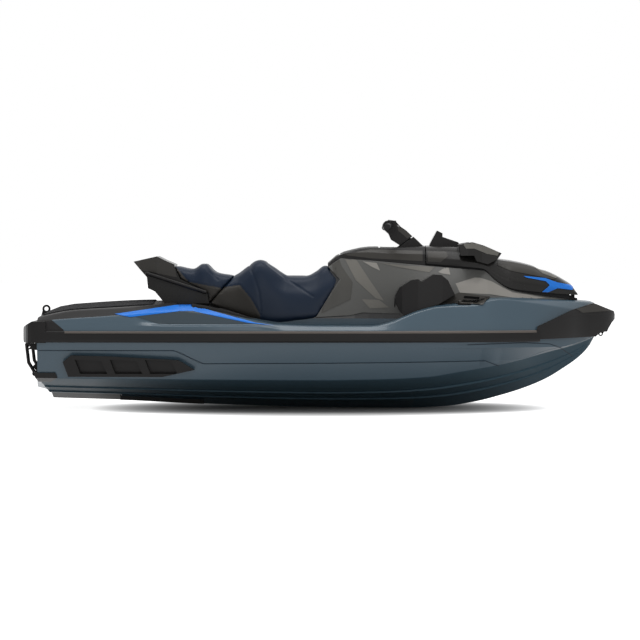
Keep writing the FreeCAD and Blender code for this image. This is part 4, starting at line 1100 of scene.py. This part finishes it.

# %% Facets of the hood with a painted highlight on its crest, and the vents with painted shade in their slots
hood_flank = [
    (495.8, 262.4), (510.8, 264.6), (523.5, 267.4), (532.4, 269.8), (545.3, 274.6), (556, 279.6),
    (552, 281.4), (507.7, 272.6), (494.9, 267.2)]
hood_highlight_outline = [(532.4, 269.8), (545.3, 274.6), (556, 279.6), (553.4, 280.4), (540.3, 275.6)]
vent_frame = [(436.5, 303.8), (456.3, 293.9), (486.4, 297.9), (479, 305.8), (448.4, 304.2)]
vent_slot_shades = [
    [(461.8, 297.3), (476.5, 298.4), (475.7, 300.4), (460.7, 299.4)],
    [(460.3, 300.9), (475.3, 301.9), (473.7, 304.4), (458.7, 303.2)]]
round_vents = [deck_skin, side_panel, nodes["side_vents"]]
film("hood_facets", [hood_flank], [nose], grey_facet_and_highlight, "hood", spacing=6, lift=2.4)
# Painted highlight: a thin pale wedge along the crest of the glossy hood.
film("hood_highlights", [hood_highlight_outline], [nose], light_facet_and_highlight, "hood", spacing=4, lift=4)
film("vent_frames", [vent_frame], round_vents, grey_facet_and_highlight, lift=5)
# Painted shade: the vent's two slots are painted near black, for the shade inside the openings.
film("vent_slot_shades", vent_slot_shades, round_vents, slot_shade, lift=7)

# %% Painted highlights on the console, cover, mirrors and bow bumper, and a grey facet of the steering neck
console_highlight = [(343, 257), (369.3, 251.6), (421.5, 253), (421.5, 263.3), (369.3, 260.3)]
cover_highlight = [(426.5, 253.4), (444.4, 253.8), (446.4, 258.3), (438.5, 264.2), (426.5, 263.4)]
mirror_top_highlight = [
    (459, 244.4), (473.1, 243.6), (482, 247.2), (496.8, 253.8), (494.8, 257.6), (484, 255.8),
    (471.1, 250.6), (463.2, 250.6)]
neck_side = [(396.5, 226.5), (401, 229.6), (420.5, 245.6), (414.8, 247), (398, 232.8)]
bumper_top_highlight = [(569, 308.1), (591, 303.4), (613.5, 312.5), (579.9, 314.3)]
# Painted highlights: the console's and cover's pale band, the mirrors' grey tops and the bumper's
# lighter top.
film("console_highlights", [console_highlight], [nodes["console"]], grey_facet_and_highlight)
film("cover_highlights", [cover_highlight], [upper_cover], grey_facet_and_highlight, "hood")
film("mirror_highlights", [mirror_top_highlight], [nodes["mirror_housings"]], light_facet_and_highlight, "hood")
film("neck_facets", [neck_side], [nodes["steering_neck"]], grey_facet_and_highlight, "handlebar")
film("bumper_highlights", [bumper_top_highlight], [bow], grey_facet_and_highlight)

# %% Painted shadow lines along the hull's steps
hull_step_lines = [
    [(46, 349.7), (178.2, 349.7), (206.8, 362.5), (330, 362), (482, 360.5), (495.8, 366)],
    [(463.6, 344.4), (520, 342.7), (546, 344.4), (559, 349), (564, 352.7), (577, 361)]]
line_width = 0.8
# Painted shadow: each dark line runs along a step in the hull's side, under the step's overhang.
film("hull_step_shadows", [seam(points, line_width) for points in hull_step_lines], [hull_skin], step_shadow)

# %% [markdown]
# ## Floor and light
# The craft stands out of the water on a white sheet, with a soft dark shadow under its keel. The
# floor glows for the camera, which lifts it to white away from the craft. Near the keel the glow
# fades and the floor is painted darker, a painted shadow on top of the shadow that the lamps cast.
# One broad lamp overhead and one in front give the soft fall of light from the deck down the hull's
# side.

# %% Floor, world and lamps
keel_bottom = cad_box[0][2]
floor_size, floor_gap, shadow_reach = 120.0, 0.002, (1.35, 1.1)
dark, painted_shadow_floor, open_floor, floor_glow = [(c, c, c) for c in (0.0, 0.35, 0.8, 0.92)]
world_light, world_seen = 0.38, 1.0


def pale_floor():
    bpy.ops.mesh.primitive_plane_add(size=floor_size, location=(0, 0, keel_bottom - floor_gap))
    floor = bpy.context.object
    floor.name = "floor"
    paint = Paint("pale floor", Roughness=1.0, Specular_IOR_Level=0.0, Emission_Strength=1.0)
    along, across, _ = paint.axes()
    # Painted shadow: within shadow_reach of the craft the floor's colour darkens and its glow fades
    # out.
    near = (along * along / shadow_reach[0] ** 2 + across * across / shadow_reach[1] ** 2).clamp()
    away = near * near * near
    paint.set("Base Color", paint.mix(away, painted_shadow_floor, open_floor))
    glow = paint.mix(away, dark, floor_glow)
    paint.set("Emission Color", paint.mix(paint.seen_rays(), dark, glow))
    floor.data.materials.append(paint.material)


def soft_world():
    """White where it is seen, and dimmer as a light."""
    world = bpy.data.worlds.new("studio")
    bpy.context.scene.world = world
    world.use_nodes = True
    sky = Recipe(world.node_tree)
    background = sky.tree.nodes["Background"]
    strength = world_light + (world_seen - world_light) * sky.seen_rays()
    sky.join(strength, background.inputs["Strength"])
    background.inputs["Color"].default_value = (1, 1, 1, 1)


def lamp(name, place, aim, size, watts):
    data = bpy.data.lights.new(name, "AREA")
    data.shape = "RECTANGLE"
    data.size, data.size_y = size
    data.energy = watts
    thing = link(bpy.data.objects.new(name, data))
    thing.location = place
    thing.rotation_euler = (Vector(aim) - Vector(place)).to_track_quat("-Z", "Y").to_euler()


pale_floor()
soft_world()
lamp("overhead", (0.0, -0.6, 4.2), (0, 0, 0.2), (5.0, 2.4), 135)
lamp("front", (1.5, -6.0, 2.2), (0, 0, 0.2), (5.0, 2.0), 60)
print("keel at", round(keel_bottom, 3))

# %% [markdown]
# ## Finish
# The construction's box is printed last.

# %% The construction's size
print("cad", cad_box)
